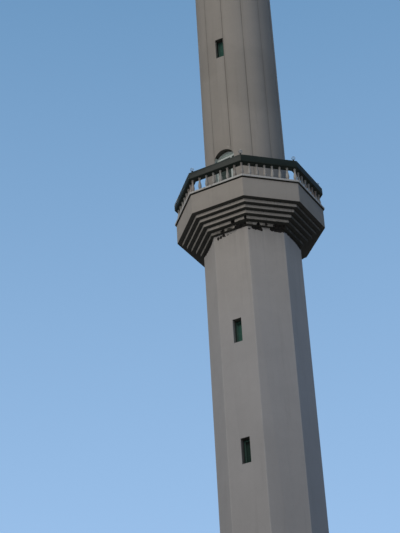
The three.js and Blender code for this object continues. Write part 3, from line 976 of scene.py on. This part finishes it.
@finish
def pale_glass(look):
    """Dusty pale glass of the fanlight"""
    dust = look.noise(14, 5, 0.65)
    transom = bpy.context.scene.minaret_openings.transom_top
    # The glass is darker in a narrow band just above the transom
    band_above_transom = 1 - look.z.between(transom + 0.018, transom + 0.030)
    tint = look.shaded("glass", (0.90 + dust * 0.35) * (1 - band_above_transom * 0.6))
    clearness = 0.80 + dust * 0.25
    return look.finished(tint, 0.10 + dust * 0.25, look.noise(6, 2), 0.001, Alpha=clearness.at_most_one())


@finish
def lamp_glass(look):
    """Clear glass of the corner lamps, with a film of dust, and less clear toward the rim as a painted
    reflection
    """
    dust = look.noise(30, 4, 0.65)
    tint = look.shaded("lamp_glass", 0.75 + dust * 0.4)
    # Painted reflection: the globe grows less clear toward its rim, as glass reflects more at a grazing
    # angle
    rim_reflection = look.node("ShaderNodeLayerWeight", {}, {"Blend": 0.35}, "Facing")
    clearness = 0.10 + dust * 0.14 + rim_reflection * 0.6
    return look.finished(tint, 0.08 + dust * 0.2, dust, 0.0005, Alpha=clearness.at_most_one())


@finish
def cap_sheet(look):
    """Green painted sheet, faded in patches and rusty along its laps"""
    clouds = look.noise(2.2, 5, 0.65)
    runs = look.noise(1, 4, 0.65, stretch=(10, 10, 0.8))
    tint = look.shaded("cap", 0.62 + clouds * 0.5 + runs * 0.25)
    tint = look.mixed(tint, "plaster_light", look.noise(7, 4, 0.7).between(0.58, 0.74) * 0.16)
    rusty = look.noise(13, 5, 0.75, 0.5).between(0.62, 0.69) * runs.between(0.40, 0.60)
    tint = look.mixed(tint, "rust", rusty * 0.6)
    dents = look.noise(3.5, 2, 0.5)
    return look.finished(tint, 0.38 + clouds * 0.2 + rusty * 0.2, dents - rusty * 0.1, 0.010, 0.6,
                         Metallic=0.35 - rusty * 0.3)


@finish
def finial_metal(look):
    """Dull yellow metal with darker hollows"""
    clouds = look.noise(18, 4, 0.6)
    tint = look.shaded("brass", 0.6 + clouds * 0.7)
    tarnish = look.noise(9, 5, 0.7).between(0.48, 0.64)
    tint = look.mixed(tint, "grime_and_shade", tarnish * 0.55)
    return look.finished(tint, 0.30 + tarnish * 0.35, clouds, 0.001, Metallic=0.95 - tarnish * 0.5)


def material(name):
    """A material of the tower, made when it is first needed."""
    return bpy.data.materials.get(f"minaret_{name}") or LOOKS[name](Look(name))


# Pieces of the tower

def window_boxes(first, last):
    """The lowest and highest corners of the slit windows from one number to another."""
    return [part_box(f"slit_window_{number}") for number in range(first, last + 1)]


def cut_windows(piece, boxes, face):
    """Cuts the window openings through a wall, and gives a test for the edges round them."""
    for low, high in boxes:
        nearest = (low.x - GAP, -face - PAST, low.z - GAP)
        carve(piece, block("hole", nearest, (high.x + GAP, low.y + THROUGH, high.z + GAP)))

    def beside_window(edge):
        place = middle(edge)
        return any(all(low[axis] - CLOSE <= place[axis] <= high[axis] + CLOSE for axis in (0, 2))
                   for low, high in boxes)
    return beside_window


def ragged_lump(place, size, turn, seed):
    """An uneven lump that breaks a piece of plaster off."""
    lump = start(bpy.ops.mesh.primitive_ico_sphere_add, "lump", subdivisions=3, scale=size)
    with shaping(lump):
        select_whole()
        bpy.ops.transform.vertex_random(offset=min(size) * 0.30, uniform=0, normal=0.6, seed=seed)
    coated(lump, ["broken_core"])
    return moved(lump, place, turn=turn)


class MINARET_OT_lower_shaft(Operator):
    """Octagonal shaft with its plinth and floor"""
    bl_idname = "minaret.lower_shaft"
    bl_label = "Lower Shaft"

    def execute(self, context):
        sizes = context.scene.minaret_walls
        radius = octagon("lower_wall_back")[0]
        bottom, top = [corner.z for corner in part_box("lower_wall_front")]
        face = shaft_face()
        walls = hollow("shaft_walls", radius, bottom, top)
        at_corner = further_out(radius - CLOSE)
        soften(walls, sizes.arris, 3, lambda edge: is_upright(edge) and at_corner(edge))
        beside_window = cut_windows(walls, window_boxes(1, LOWER_WINDOWS), face)
        door_low, door_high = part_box("entrance_frame")
        clear = Vector((GAP, THROUGH, GAP))
        doorway = block("doorway", door_low - clear - Vector((0, 0, THROUGH)), door_high + clear)
        carve(walls, copied(doorway, "doorway_cutter"))

        def round_opening(edge):
            place = middle(edge)
            at_front = abs(place.y + face) < CLOSE and beside_window(edge)
            at_back = abs(place.y - face) < CLOSE and abs(place.x) < door_high.x + 2 * CLOSE
            return at_front or at_back and place.z < door_high.z + 2 * CLOSE
        soften(walls, sizes.opening_arris, 2, round_opening)
        # The wall gets its own material first, and each lump brings the one of its cut
        coated(walls, ["wall_plaster"])
        for seed, (side, along, drop, *size) in enumerate(SPALLS, SPALL_SEED):
            carve(walls, ragged_lump(on_side(radius, side, along, top - drop), size, side, seed))
        nodes = [f"lower_wall_{side}" for side in SIDE_NAMES]
        nodes += ["entrance_pier_left", "entrance_pier_right"]
        painted(walls, ["wall_plaster", "broken_core"], nodes)

        foot, low, high = octagon("plinth")
        plinth = octagonal("plinth_course", [
            (foot, low), (foot, high - sizes.plinth_slope), (radius + GAP, high), (radius + GAP, low)])
        soften(plinth, sizes.arris, 3, further_out(foot * FLAT - CLOSE))
        carve(plinth, doorway)
        painted(plinth, ["wall_plaster"], ["plinth"])

        foot, low, high = octagon("ground_floor")
        slab = octagonal("floor_slab", [(foot, low), (foot, high)], ring=False)
        soften(slab, sizes.opening_arris, 2, lambda edge: middle(edge).z > low + CLOSE)
        painted(slab, ["bare_concrete"], ["ground_floor"])
        return {"FINISHED"}


class MINARET_OT_corbel(Operator):
    """Corbel courses under the balcony, broken and grimy at the bottom"""
    bl_idname = "minaret.corbel"
    bl_label = "Corbel"

    def execute(self, context):
        arris = context.scene.minaret_walls.course_arris
        for number in range(1, COURSES + 1):
            node = f"corbel_course_{number}"
            radius, low, high = octagon(node)
            course = hollow(f"corbel_step_{number}", radius, low, high)
            soften(course, arris, 2, further_out(radius * FLAT - 2 * CLOSE))
            coated(course, ["corbel_plaster"])
            for seed, (on_course, side, along, rise, *size) in enumerate(BREAKS):
                if on_course == number:
                    carve(course, ragged_lump(on_side(radius, side, along, low + rise), size, side, seed))
            painted(course, ["corbel_plaster", "broken_core"], [node])
        return {"FINISHED"}


class MINARET_OT_balcony(Operator):
    """Band and deck of the balcony"""
    bl_idname = "minaret.balcony"
    bl_label = "Balcony"

    def execute(self, context):
        sizes = context.scene.minaret_balcony
        radius, low, high = octagon("balcony_band")
        band = hollow("plain_band", radius, low, high)
        soften(band, context.scene.minaret_walls.arris, 3, further_out(radius * FLAT - CLOSE))
        painted(band, ["corbel_plaster"], ["balcony_band"])

        radius, low, high = octagon("balcony_deck")
        drip = radius - sizes.drip_set_back
        edge_bottom = low + sizes.drip_height
        profile = [(drip, low), (drip, edge_bottom), (radius, edge_bottom), (radius, high)]
        deck = octagonal("deck_slab", profile, ring=False)
        soften(deck, sizes.deck_arris, 2, further_out(radius * FLAT - CLOSE))
        painted(deck, ["bare_concrete", "edge_paint", "dark_recess"], ["balcony_deck"])
        inner_edge = drip * FLAT + CLOSE

        def on_edge(face):
            return reach(face.calc_center_median()) > inner_edge and face.normal.z < STRAIGHT

        def in_drip(face):
            return face.calc_center_median().z < edge_bottom + CLOSE and face.normal.z < 1 - STRAIGHT
        give(deck, 1, on_edge)
        give(deck, 2, in_drip)
        return {"FINISHED"}


# Outline of a baluster: radius in metres, and height as a share of the whole
BALUSTER_FOOT = ((0.0280, 0.00), (0.0280, 0.055))
BALUSTER_BODY = ((0.0185, 0.075), (0.0180, 0.11), (0.0285, 0.20), (0.0325, 0.31), (0.0290, 0.45),
                 (0.0205, 0.62), (0.0145, 0.80))
BALUSTER_HEAD = ((0.0205, 0.825), (0.0205, 0.86), (0.0155, 0.875), (0.0155, 0.895), (0.0220, 0.925),
                 (0.0220, 1.0))
# How far the cuts between the sides lie from the corners, in degrees: each side has one corner baluster
CORNER_TURN = 2.6


class MINARET_OT_balustrade(Operator):
    """Turned balusters on their base rail, one piece on each side"""
    bl_idname = "minaret.balustrade"
    bl_label = "Balustrade"

    def execute(self, context):
        sizes = context.scene.minaret_balcony
        low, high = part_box("balustrade_front")
        rail_top = low.z + sizes.base_rail_height
        outer, inner = [sizes.baluster_ring + out * sizes.base_rail_width / 2 / FLAT for out in (1, -1)]
        rail = octagonal("base_rail", [
            (outer, low.z), (outer, rail_top), (inner, rail_top), (inner, low.z)])
        soften(rail, sizes.deck_arris, 2,
               lambda edge: not is_upright(edge) and middle(edge).z > low.z + CLOSE)
        for end in (-1, 1):
            trim(rail, (0, 0, 0), on_plan(1, end * SIDE_ANGLE / 2 - CORNER_TURN + end * 90))
        outline = [*BALUSTER_FOOT, *rounded(BALUSTER_BODY, 3), *BALUSTER_HEAD]
        baluster = turned("baluster", raised(outline, rail_top, high.z), ROUND_STEPS, ring=False)
        soften(baluster, FINE_ARRIS, 1)
        first, last = [on_plan(sizes.baluster_ring, end * SIDE_ANGLE / 2) for end in (-1, 1)]
        balusters = [copied(baluster, "baluster_copy", 0, first.lerp(last, number / sizes.baluster_gaps))
                     for number in range(sizes.baluster_gaps)]
        bpy.data.objects.remove(baluster)
        side = joined([*balusters, rail], "side")
        for number, name in enumerate(SIDE_NAMES):
            piece = copied(side, f"balusters_{name}", number * SIDE_ANGLE)
            painted(piece, ["cream_paint"], [f"balustrade_{name}"])
        bpy.data.objects.remove(side)
        return {"FINISHED"}


class MINARET_OT_coping(Operator):
    """Dark green handrail with a small lamp on each corner"""
    bl_idname = "minaret.coping"
    bl_label = "Coping and Lamps"

    def execute(self, context):
        sizes = context.scene.minaret_balcony
        radius, low, _ = octagon("handrail")
        high = low + sizes.coping_height
        inner = radius - sizes.coping_width / FLAT
        drip = 0.012
        groove, drip_top = radius - 2.5 * drip, low + drip / 2
        coping = octagonal("coping", [
            (radius, low), (radius, high), (inner, high), (inner, low),
            (groove - drip, low), (groove - drip, drip_top), (groove, drip_top), (groove, low)])
        outermost = further_out(radius * FLAT - 2 * CLOSE)
        innermost = inner + 2 * CLOSE
        soften(coping, sizes.coping_arris, 3,
               lambda edge: outermost(edge) or reach(middle(edge)) < innermost)
        painted(coping, ["coping_paint"], ["handrail"])

        wide = sizes.lamp_radius
        tall = sizes.lamp_height
        globe_share = 2 * wide / tall
        foot = [(0.50, 0.00), (0.50, 0.04), (0.26, 0.09), (0.18, 0.16), (0.18, 0.36), (0.40, 0.43),
                (0.44, 0.49)]
        socket = turned("socket", [(share * wide, high + rise * tall) for share, rise in foot],
                        ROUND_STEPS, ring=False)
        angles = [math.radians(turn) for turn in range(25, 180, 10)]
        globe = turned("globe", [
            (math.sin(angle) * wide * 0.98, high + (1 - globe_share * (0.5 + math.cos(angle) / 2)) * tall)
            for angle in angles], 24, ring=False)
        for shape, name, slot, look in ((socket, "lamp_sockets", "rail_green", "coping_paint"),
                                        (globe, "lamp_globes", "pale_glass", "lamp_glass")):
            corners = [copied(shape, "corner", (number + 0.5) * SIDE_ANGLE, (0, -sizes.baluster_ring, 0))
                       for number in range(SIDES)]
            bpy.data.objects.remove(shape)
            painted(joined(corners, name), [look])
        return {"FINISHED"}


class MINARET_OT_upper_shaft(Operator):
    """Round upper shaft of lobes and grooves, with the openings of its door and windows"""
    bl_idname = "minaret.upper_shaft"
    bl_label = "Upper Shaft"

    def execute(self, context):
        sizes = context.scene.minaret_walls
        openings = context.scene.minaret_openings
        bottom, top = [corner.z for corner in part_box("upper_wall_back")]
        radius = upper_radius()
        inner = radius - sizes.upper_wall
        shaft = turned("lobed_shaft", [(radius, bottom), (radius, top), (inner, top), (inner, bottom)],
                       LOBES * LOBE_STEPS, first_corner=FIRST_GROOVE)
        half_lobe = LOBE_STEPS // 2
        same_step = 0.3

        def drawn_in(test, old, new):
            """Brings the outer vertices that pass a test from one distance from the axis to another."""
            pick("VERT", lambda vertex: reach(vertex.co) > inner + CLOSE and test(azimuth_of(vertex.co)))
            bpy.ops.transform.resize(value=(new / old, new / old, 1), center_override=(0, 0, 0))
        with shaping(shaft):
            for step in range(half_lobe):
                fall = sizes.groove_depth if step == 0 else sizes.lobe_fall * (1 - step / half_lobe) ** 2

                def at_step(azimuth):
                    turn = (azimuth - FIRST_GROOVE) % LOBE_ANGLE * LOBE_STEPS / LOBE_ANGLE
                    return abs(min(turn, LOBE_STEPS - turn) - step) < same_step
                drawn_in(at_step, radius, radius - fall)
            for groove, share in FILLED_GROOVES.items():
                bed = radius - sizes.lobe_fall - (sizes.groove_depth - sizes.lobe_fall) * share
                drawn_in(lambda azimuth: abs(azimuth - groove) * LOBE_STEPS / LOBE_ANGLE < same_step,
                         radius - sizes.groove_depth, bed)
        beside_window = cut_windows(shaft, window_boxes(LOWER_WINDOWS + 1, WINDOWS), radius)
        doorway = arch("doorway", openings.door_half, openings.door_rise, openings.door_spring,
                       bottom - THROUGH, 0, 2 * radius)
        carve(shaft, moved(doorway, turn=openings.door_azimuth))

        def round_opening(edge):
            place = middle(edge)
            far = max(reach(vertex.co) for vertex in edge.verts)
            turn = (azimuth_of(place) - FIRST_GROOVE) % LOBE_ANGLE
            at_groove = min(turn, LOBE_ANGLE - turn) < 1.5
            near_door = place.z < openings.door_spring + openings.door_rise + CLOSE
            outside = far > radius - sizes.lobe_fall - CLOSE and place.z > bottom + CLOSE
            beside = beside_window(edge) or near_door
            return outside and not at_groove and beside and place.y < 0
        soften(shaft, sizes.opening_arris, 2, round_opening)
        nodes = [f"upper_wall_{quarter}" for quarter in QUARTERS]
        nodes += ["balcony_pier_left", "balcony_pier_right"]
        painted(shaft, ["upper_plaster"], nodes)
        return {"FINISHED"}


class MINARET_OT_slit_windows(Operator):
    """Slit windows with frame, sash, pane and a mortar sill"""
    bl_idname = "minaret.slit_windows"
    bl_label = "Slit Windows"

    def execute(self, context):
        sizes = context.scene.minaret_openings
        low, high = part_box("slit_window_1")
        window = block("window", low, high)
        rebate = 0.006
        for toward in (-1, 1):
            with shaping(window):
                pick("FACE", lambda face: face.normal.y * toward > STRAIGHT)
                for width in (sizes.window_frame, sizes.window_sash):
                    bpy.ops.mesh.inset(thickness=width, depth=0)
                    extruded(0, -toward * rebate, 0)
        pane_half = high.x - sizes.window_frame - sizes.window_sash - CLOSE
        pane_top = (high.z - low.z) / 2 - sizes.window_frame - sizes.window_sash
        centre = (low + high) / 2

        def is_pane(face):
            place = face.calc_center_median()
            on_pane = abs(place.x) < pane_half - CLOSE and abs(place.z - centre.z) < pane_top - CLOSE
            return on_pane and abs(face.normal.y) > STRAIGHT
        coated(window, ["window_paint", "window_pane"])
        give(window, 1, is_pane)
        soften(window, FINE_ARRIS, 2)
        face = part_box("lower_wall_front")[0].y
        set_back, rise, fall, sill_arris = 0.014, 0.014, 0.008, 0.002
        sill = block("sill", (low.x, face + set_back, low.z - GAP), (high.x, low.y, low.z + rise))
        with shaping(sill):
            pick("VERT", lambda vertex: vertex.co.y < face + set_back + CLOSE and vertex.co.z > low.z)
            bpy.ops.transform.translate(value=(0, 0, -fall))
        soften(sill, sill_arris, 2)
        for number, (place, _) in enumerate(window_boxes(1, WINDOWS), 1):
            shift = (0, place.y - low.y, place.z - low.z)
            piece = copied(window, f"green_window_{number}", 0, shift)
            painted(piece, ["window_paint", "window_pane"], [f"slit_window_{number}"])
            painted(copied(sill, f"mortar_sill_{number}", 0, shift), ["wall_plaster"])
        bpy.data.objects.remove(window)
        bpy.data.objects.remove(sill)
        return {"FINISHED"}


# The rail between two panels of a door, and a panel's steps inward from its edge: width and depth
PANEL_RAIL = 0.030
PANEL_STEPS = ((0.004, -0.005), (0.010, 0), (0.006, 0.004))


def panelled(leaf, outer_y, columns, rows, margin):
    """Gives the outer face of a leaf raised panels, in even columns and rows between rails."""
    def scored(axis, count):
        """Scores the panels' edges across an axis. Gives their first and last place and their pitch."""
        places = [vertex.co[axis] for vertex in leaf.data.vertices]
        first, last = min(places) + margin, max(places) - margin
        pitch = (last - first + PANEL_RAIL) / count
        for number in range(count):
            for place in (first + number * pitch, first + (number + 1) * pitch - PANEL_RAIL):
                score(leaf, unit(axis) * place, unit(axis))
        return first, last, pitch
    left, right, wide = scored(0, columns)
    bottom, top, tall = scored(2, rows)

    def is_panel(face):
        place = face.calc_center_median()
        over = (place.x - left) % wide
        up = (place.z - bottom) % tall
        inside = left < place.x < right and bottom < place.z < top and abs(place.y - outer_y) < CLOSE
        return inside and over < wide - PANEL_RAIL and up < tall - PANEL_RAIL
    with shaping(leaf):
        pick("FACE", is_panel)
        for width, depth in PANEL_STEPS:
            bpy.ops.mesh.inset(thickness=width, depth=depth, use_individual=True)


def lever(name, place, outward):
    """A door handle: a rose, a neck and a lever that lies along the leaf."""
    rose = turned("rose", [(0.011, 0.0), (0.011, 0.0025), (0.009, 0.004), (0.004, 0.005), (0.004, 0.016)],
                  ROUND_STEPS, ring=False)
    moved(rose, tip=90 * outward)
    bar = block("bar", (-0.004, -outward * 0.020, -0.004), (0.050, -outward * 0.014, 0.004))
    with shaping(bar):
        pick("FACE", lambda face: face.normal.x > STRAIGHT)
        bpy.ops.transform.resize(value=(1, 0.8, 0.6))
    soften(bar, FITTING_ARRIS, 2)
    return moved(joined([rose, bar], name), place)


class MINARET_OT_balcony_door(Operator):
    """Arched balcony door with transom, mullion, panelled leaves and fanlight"""
    bl_idname = "minaret.balcony_door"
    bl_label = "Balcony Door"

    def execute(self, context):
        sizes = context.scene.minaret_openings
        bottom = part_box("balcony_door_frame")[0].z
        set_back, frame_depth, threshold, handle_rise = 0.11, 0.045, 0.02, 0.48
        outer = upper_radius() - set_back
        inner = outer - frame_depth
        centre = (outer + inner) / 2
        mullion_end = sizes.mullion_start + sizes.mullion_width
        transom_bottom = sizes.transom_top - sizes.transom_height

        def arched(name, inset, foot, near, far):
            """A plate with the arched outline of the opening, set in from it."""
            return arch(name, sizes.door_half - inset, sizes.door_rise - inset, sizes.door_spring, foot,
                        near, far)

        def light(name, slack, span, heights, near, far):
            """A plate that fills the part of the frame's opening between two sides and two heights."""
            plate = arched(name, GAP + sizes.casing + slack, bottom - 2 * PAST, near, far)
            for axis, ends in ((0, span), (2, heights)):
                for outward, end in zip((-1, 1), ends):
                    trim(plate, unit(axis) * (end - outward * slack), unit(axis) * outward)
            return plate

        def placed(piece, looks, nodes=()):
            """Turns a piece of the door to its azimuth and finishes it."""
            painted(moved(piece, turn=sizes.door_azimuth), looks, nodes)

        wide = ((-1, sizes.mullion_start), (bottom + threshold, transom_bottom))
        narrow = ((mullion_end, 1), (bottom + threshold, transom_bottom))
        fan = ((-1, 1), (sizes.transom_top, sizes.transom_top + 1))
        casing = arched("door_casing", GAP, bottom, inner, outer)
        for span, heights in (wide, narrow, fan):
            carve(casing, light("hole", 0, span, heights, inner - PAST, outer + PAST))
        soften(casing, TRIM_ARRIS, 2, lambda edge: middle(edge).y < -outer + CLOSE)
        placed(casing, ["white_paint"], ["balcony_door_frame"])
        boards, clear = [
            arched(name, inset, bottom - below, outer - below, outer + sizes.lining_depth + below)
            for name, inset, below in (("jamb_boards", GAP, 0), ("hole", GAP + sizes.lining, PAST))]
        carve(boards, clear)
        trim(boards, (0, 0, sizes.lining_top), (0, 0, 1))
        placed(boards, ["white_paint"])
        for name, (span, heights), node, margin in (
                ("wide_leaf", wide, "balcony_door", 0.030),
                ("narrow_leaf", narrow, "balcony_side_leaf", 0.014)):
            leaf = light(name, GAP, span, heights, centre - sizes.leaf / 2, centre + sizes.leaf / 2)
            panelled(leaf, -centre - sizes.leaf / 2, 1, 3, margin)
            placed(leaf, ["door_paint"], [node])
        glass = light("fan_glass", GAP, *fan, centre - sizes.glass / 2, centre + sizes.glass / 2)
        soften(glass, GLASS_ARRIS, 1)
        placed(glass, ["pale_glass"], ["balcony_fanlight"])
        handle_place = (0.02, -centre - sizes.leaf / 2, bottom + handle_rise)
        placed(lever("balcony_door_handle", handle_place, 1), ["finial_metal"])
        return {"FINISHED"}


class MINARET_OT_entrance(Operator):
    """Entrance at the foot of the back wall"""
    bl_idname = "minaret.entrance"
    bl_label = "Entrance"

    def execute(self, context):
        sizes = context.scene.minaret_openings
        low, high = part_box("entrance_frame")
        casing = block("entrance_casing", low, high)
        leaf_low, leaf_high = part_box("entrance_door")
        margin, handle_rise = 0.035, 0.50
        carve(casing, block("hole", (leaf_low.x - GAP, low.y - PAST, low.z - PAST),
                            (leaf_high.x + GAP, high.y + PAST, leaf_high.z + GAP)))
        soften(casing, TRIM_ARRIS, 2, lambda edge: middle(edge).y > high.y - CLOSE)
        painted(casing, ["white_paint"], ["entrance_frame"])
        leaf = block("entrance_leaf", leaf_low, leaf_high)
        panelled(leaf, leaf_high.y, 2, 3, margin)
        painted(leaf, ["door_paint"], ["entrance_door"])
        handle_place = (leaf_low.x + margin, leaf_high.y, leaf_low.z + handle_rise)
        painted(lever("entrance_handle", handle_place, -1), ["finial_metal"])
        return {"FINISHED"}


class MINARET_OT_cap(Operator):
    """Moulded cornice and the pointed cap of lapped sheets with standing seams"""
    bl_idname = "minaret.cap"
    bl_label = "Cornice and Cap"

    def execute(self, context):
        low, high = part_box("cornice")
        radius = upper_radius()
        bore = radius - context.scene.minaret_walls.upper_wall
        bead, edge = radius + 0.012, high.x - 0.004
        foot = raised([(bore, 0), (radius, 0), (radius, 0.14), (bead, 0.17), (radius + 0.018, 0.23),
                       (bead, 0.29)], low.z, high.z)
        cove = raised([(bead, 0.34), (radius + 0.022, 0.48), (radius + 0.060, 0.62),
                       (high.x - 0.012, 0.70)], low.z, high.z)
        head = [*raised([(edge, 0.74)], low.z, high.z), (edge, high.z), (bore, high.z)]
        cornice = turned("moulded_cornice", [*foot, *rounded(cove, 4), *head], 144)
        soften(cornice, TRIM_ARRIS, 2, further_out(high.x - 0.02))
        painted(cornice, ["corbel_plaster"], ["cornice"])

        low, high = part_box("cap")
        corner = high.x / math.cos(math.radians(FIRST_GROOVE))
        eaves = 0.035
        seam = 0.014
        tip = 0.035
        skirt = corner - seam
        sheets = 16
        lap = 0.006
        slope = (skirt - tip) / (high.z - low.z - eaves)
        profile = [(bore, low.z), (skirt, low.z), (skirt, low.z + eaves)]
        for sheet in range(1, sheets):
            height = low.z + eaves + sheet * (high.z - low.z - eaves) / sheets
            edge_radius = skirt - slope * (height - low.z - eaves)
            profile += [(edge_radius - lap, height), (edge_radius + lap / 2, height + lap / 2)]
        wall = 0.12
        bolt = 0.004
        profile += [(tip - lap, high.z), (bolt, high.z), (bolt, high.z - THROUGH),
                    (corner - wall, low.z + eaves), (bore, low.z + eaves)]
        roof = turned("sheet_cap", profile, LOBES, first_corner=FIRST_GROOVE)
        painted(roof, ["cap_sheet"], ["cap"], smooth=False)

        half_rib = 0.006
        rib = block("rib", (-half_rib, -0.5, 0), (half_rib, 0.5, 1))
        with shaping(rib):
            for end, distance, height, depth in ((0, skirt, low.z, 0.030),
                                                 (1, tip, high.z - bolt, 0.012)):
                for side, place in ((-1, distance + seam * 0.9), (1, distance - depth)):
                    pick("VERT", lambda vertex: vertex.co.z == end and vertex.co.y * side > 0)
                    bpy.ops.transform.translate(value=(0, -place - side * 0.5, height - end))
        soften(rib, TRIM_ARRIS, 2)
        ribs = [copied(rib, "rib_copy", FIRST_GROOVE + number * LOBE_ANGLE) for number in range(LOBES)]
        bpy.data.objects.remove(rib)
        painted(joined(ribs, "standing_seams"), ["cap_sheet"])
        return {"FINISHED"}


class MINARET_OT_finial(Operator):
    """Turned finial with its crescent"""
    bl_idname = "minaret.finial"
    bl_label = "Finial"

    def execute(self, context):
        low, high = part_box("finial_stem")
        bulbs = rounded([(0.030, 0.05), (0.024, 0.13), (0.076, 0.22), (0.084, 0.28), (0.076, 0.34),
                         (0.024, 0.44), (0.022, 0.50), (0.056, 0.58), (0.060, 0.61), (0.056, 0.64),
                         (0.020, 0.71), (0.018, 0.76), (0.037, 0.82), (0.040, 0.845), (0.037, 0.87),
                         (0.015, 0.93)], 3)
        outline = [(0.049, 0), (0.049, 0.02), *bulbs, (0.0125, 1.0)]
        stem = turned("turned_stem", raised(outline, low.z, high.z), 32, ring=False)
        painted(stem, ["finial_metal"], ["finial_stem"])
        low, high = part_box("finial_crescent")
        radius = (high.x - low.x) / 2 - CLOSE
        hole_radius, hole_rise, crescent_arris = 0.1175, 0.05, 0.006
        centre = low.z + radius + GAP
        crescent, hole = [
            start(bpy.ops.mesh.primitive_cylinder_add, name, vertices=96, radius=size, depth=depth,
                  location=(0, 0, height), rotation=(math.radians(90), 0, 0))
            for name, size, depth, height in (("crescent", radius, high.y - low.y, centre),
                                              ("hole", hole_radius, THROUGH, centre + hole_rise))]
        carve(crescent, hole)
        soften(crescent, crescent_arris, 3, lambda edge: abs(middle(edge).y) > high.y - CLOSE)
        painted(crescent, ["finial_metal"], ["finial_crescent"])
        return {"FINISHED"}


# Stage

def sun(name, azimuth, elevation, strength, tint, spread):
    """A broad soft lamp, far away in one direction."""
    data = bpy.data.lights.new(name, "SUN")
    data.energy = strength
    data.color = tint
    data.angle = math.radians(spread)
    lamp = bpy.data.objects.new(name, data)
    bpy.context.scene.collection.objects.link(lamp)
    turn = Matrix.Rotation(math.radians(azimuth), 4, "Z")
    lamp.matrix_world = turn @ Matrix.Rotation(math.radians(90 - elevation), 4, "X")


def backdrop(settings, colours):
    """A plain pale blue backdrop, which lights the tower as a softer and dimmer sky."""
    world = bpy.data.worlds.new("backdrop")
    bpy.context.scene.world = world
    sky = Nodes(world)
    outlook = sky.node("ShaderNodeTexCoord", output="Generated")
    height = sky.node("ShaderNodeSeparateXYZ", {}, {"Vector": outlook}, "Z")
    rise = sky.node("ShaderNodeMapRange", {}, {"Value": height, "From Min": 0.20, "From Max": 0.75})
    seen = sky.node("ShaderNodeMix", {"data_type": "RGBA"},
                    {0: rise, 6: (*colours.backdrop_low, 1), 7: (*colours.backdrop_high, 1)}, 2)
    seen_sky = sky.node("ShaderNodeBackground", {}, {"Color": seen})
    from_below = 0.12 * settings.sky
    strength = sky.node("ShaderNodeMapRange", {}, {"Value": height, "From Min": -0.10, "From Max": 0.15,
                                                   "To Min": from_below, "To Max": settings.sky})
    soft_sky = sky.node("ShaderNodeBackground", {}, {"Color": (0.44, 0.69, 1.0, 1), "Strength": strength})
    by_camera = sky.node("ShaderNodeLightPath", output="Is Camera Ray")
    choice = sky.node("ShaderNodeMixShader", {}, {0: by_camera, 1: soft_sky, 2: seen_sky})
    sky.node("ShaderNodeOutputWorld", {}, {"Surface": choice})


class MINARET_OT_stage(Operator):
    """Pale floor, soft light, plain backdrop and the camera"""
    bl_idname = "minaret.stage"
    bl_label = "Stage"

    def execute(self, context):
        settings = context.scene.minaret_stage
        colours = context.scene.minaret_colours
        data = bpy.data.cameras.new("camera")
        data.sensor_fit = "VERTICAL"
        data.sensor_height = 36
        frame_height = 533
        data.lens = settings.focal_length / frame_height * data.sensor_height
        data.clip_end = 500
        camera = bpy.data.objects.new("camera", data)
        context.scene.collection.objects.link(camera)
        place = on_plan(settings.camera_distance, settings.camera_azimuth)
        place.z = settings.camera_height
        turn = Matrix.Rotation(math.radians(settings.camera_azimuth + settings.camera_turn), 4, "Z")
        tilt = Matrix.Rotation(math.radians(90 + settings.camera_pitch), 4, "X")
        roll = Matrix.Rotation(math.radians(-settings.camera_roll), 4, "Z")
        camera.matrix_world = Matrix.Translation(place) @ turn @ tilt @ roll
        context.scene.camera = camera

        sun("key", -8, 25, settings.key, (1, 0.933, 0.868), 50)
        sun("fill", 110, 20, settings.fill, (0.13, 0.41, 1), 60)
        sun("back", 205, 30, settings.back, (1, 1, 1), 40)
        sun("top", 0, 90, settings.top, (1, 1, 1), 15)
        backdrop(settings, colours)
        context.scene.view_settings.view_transform = "Standard"

        floor = start(bpy.ops.mesh.primitive_circle_add, "studio_floor", vertices=96, radius=120,
                      location=(0, 0, -0.002), fill_type="NGON")
        look = Look("studio_floor")
        tint = look.shaded("floor", 0.97 + look.noise(0.4, 3) * 0.06)
        seen = look.node("ShaderNodeLightPath", output="Is Camera Ray")
        bounced = 0.56
        tint = look.shaded(tint, bounced + seen * (1 - bounced))
        floor.data.materials.append(look.finished(tint, 0.8))
        return {"FINISHED"}


PIECES = (MINARET_OT_lower_shaft, MINARET_OT_corbel, MINARET_OT_balcony, MINARET_OT_balustrade,
          MINARET_OT_coping, MINARET_OT_upper_shaft, MINARET_OT_slit_windows, MINARET_OT_balcony_door,
          MINARET_OT_entrance, MINARET_OT_cap, MINARET_OT_finial, MINARET_OT_stage)


class MINARET_PT_panel(Panel):
    """Sidebar panel with the sizes, the colours and the pieces"""
    bl_idname = "MINARET_PT_panel"
    bl_label = "Minaret"
    bl_space_type = "VIEW_3D"
    bl_region_type = "UI"
    bl_category = "Minaret"

    def draw(self, context):
        for name, group in GROUPS.items():
            box = self.layout.box()
            box.label(text=group.__doc__)
            for setting in group.__annotations__:
                box.prop(getattr(context.scene, name), setting)
        for piece in PIECES:
            self.layout.operator(piece.bl_idname)


def register():
    """Registers the settings, the operators and the panel."""
    for kind in (*GROUPS.values(), *PIECES, MINARET_PT_panel):
        bpy.utils.register_class(kind)
    for name, group in GROUPS.items():
        setattr(bpy.types.Scene, name, PointerProperty(type=group))


def unregister():
    """Removes what register added."""
    for name in GROUPS:
        delattr(bpy.types.Scene, name)
    for kind in (MINARET_PT_panel, *reversed(PIECES), *reversed(GROUPS.values())):
        bpy.utils.unregister_class(kind)


def main():
    """Builds every piece and the stage."""
    register()
    for piece in PIECES:
        family, name = piece.bl_idname.split(".")
        getattr(getattr(bpy.ops, family), name)()


if __name__ == "__main__":
    main()
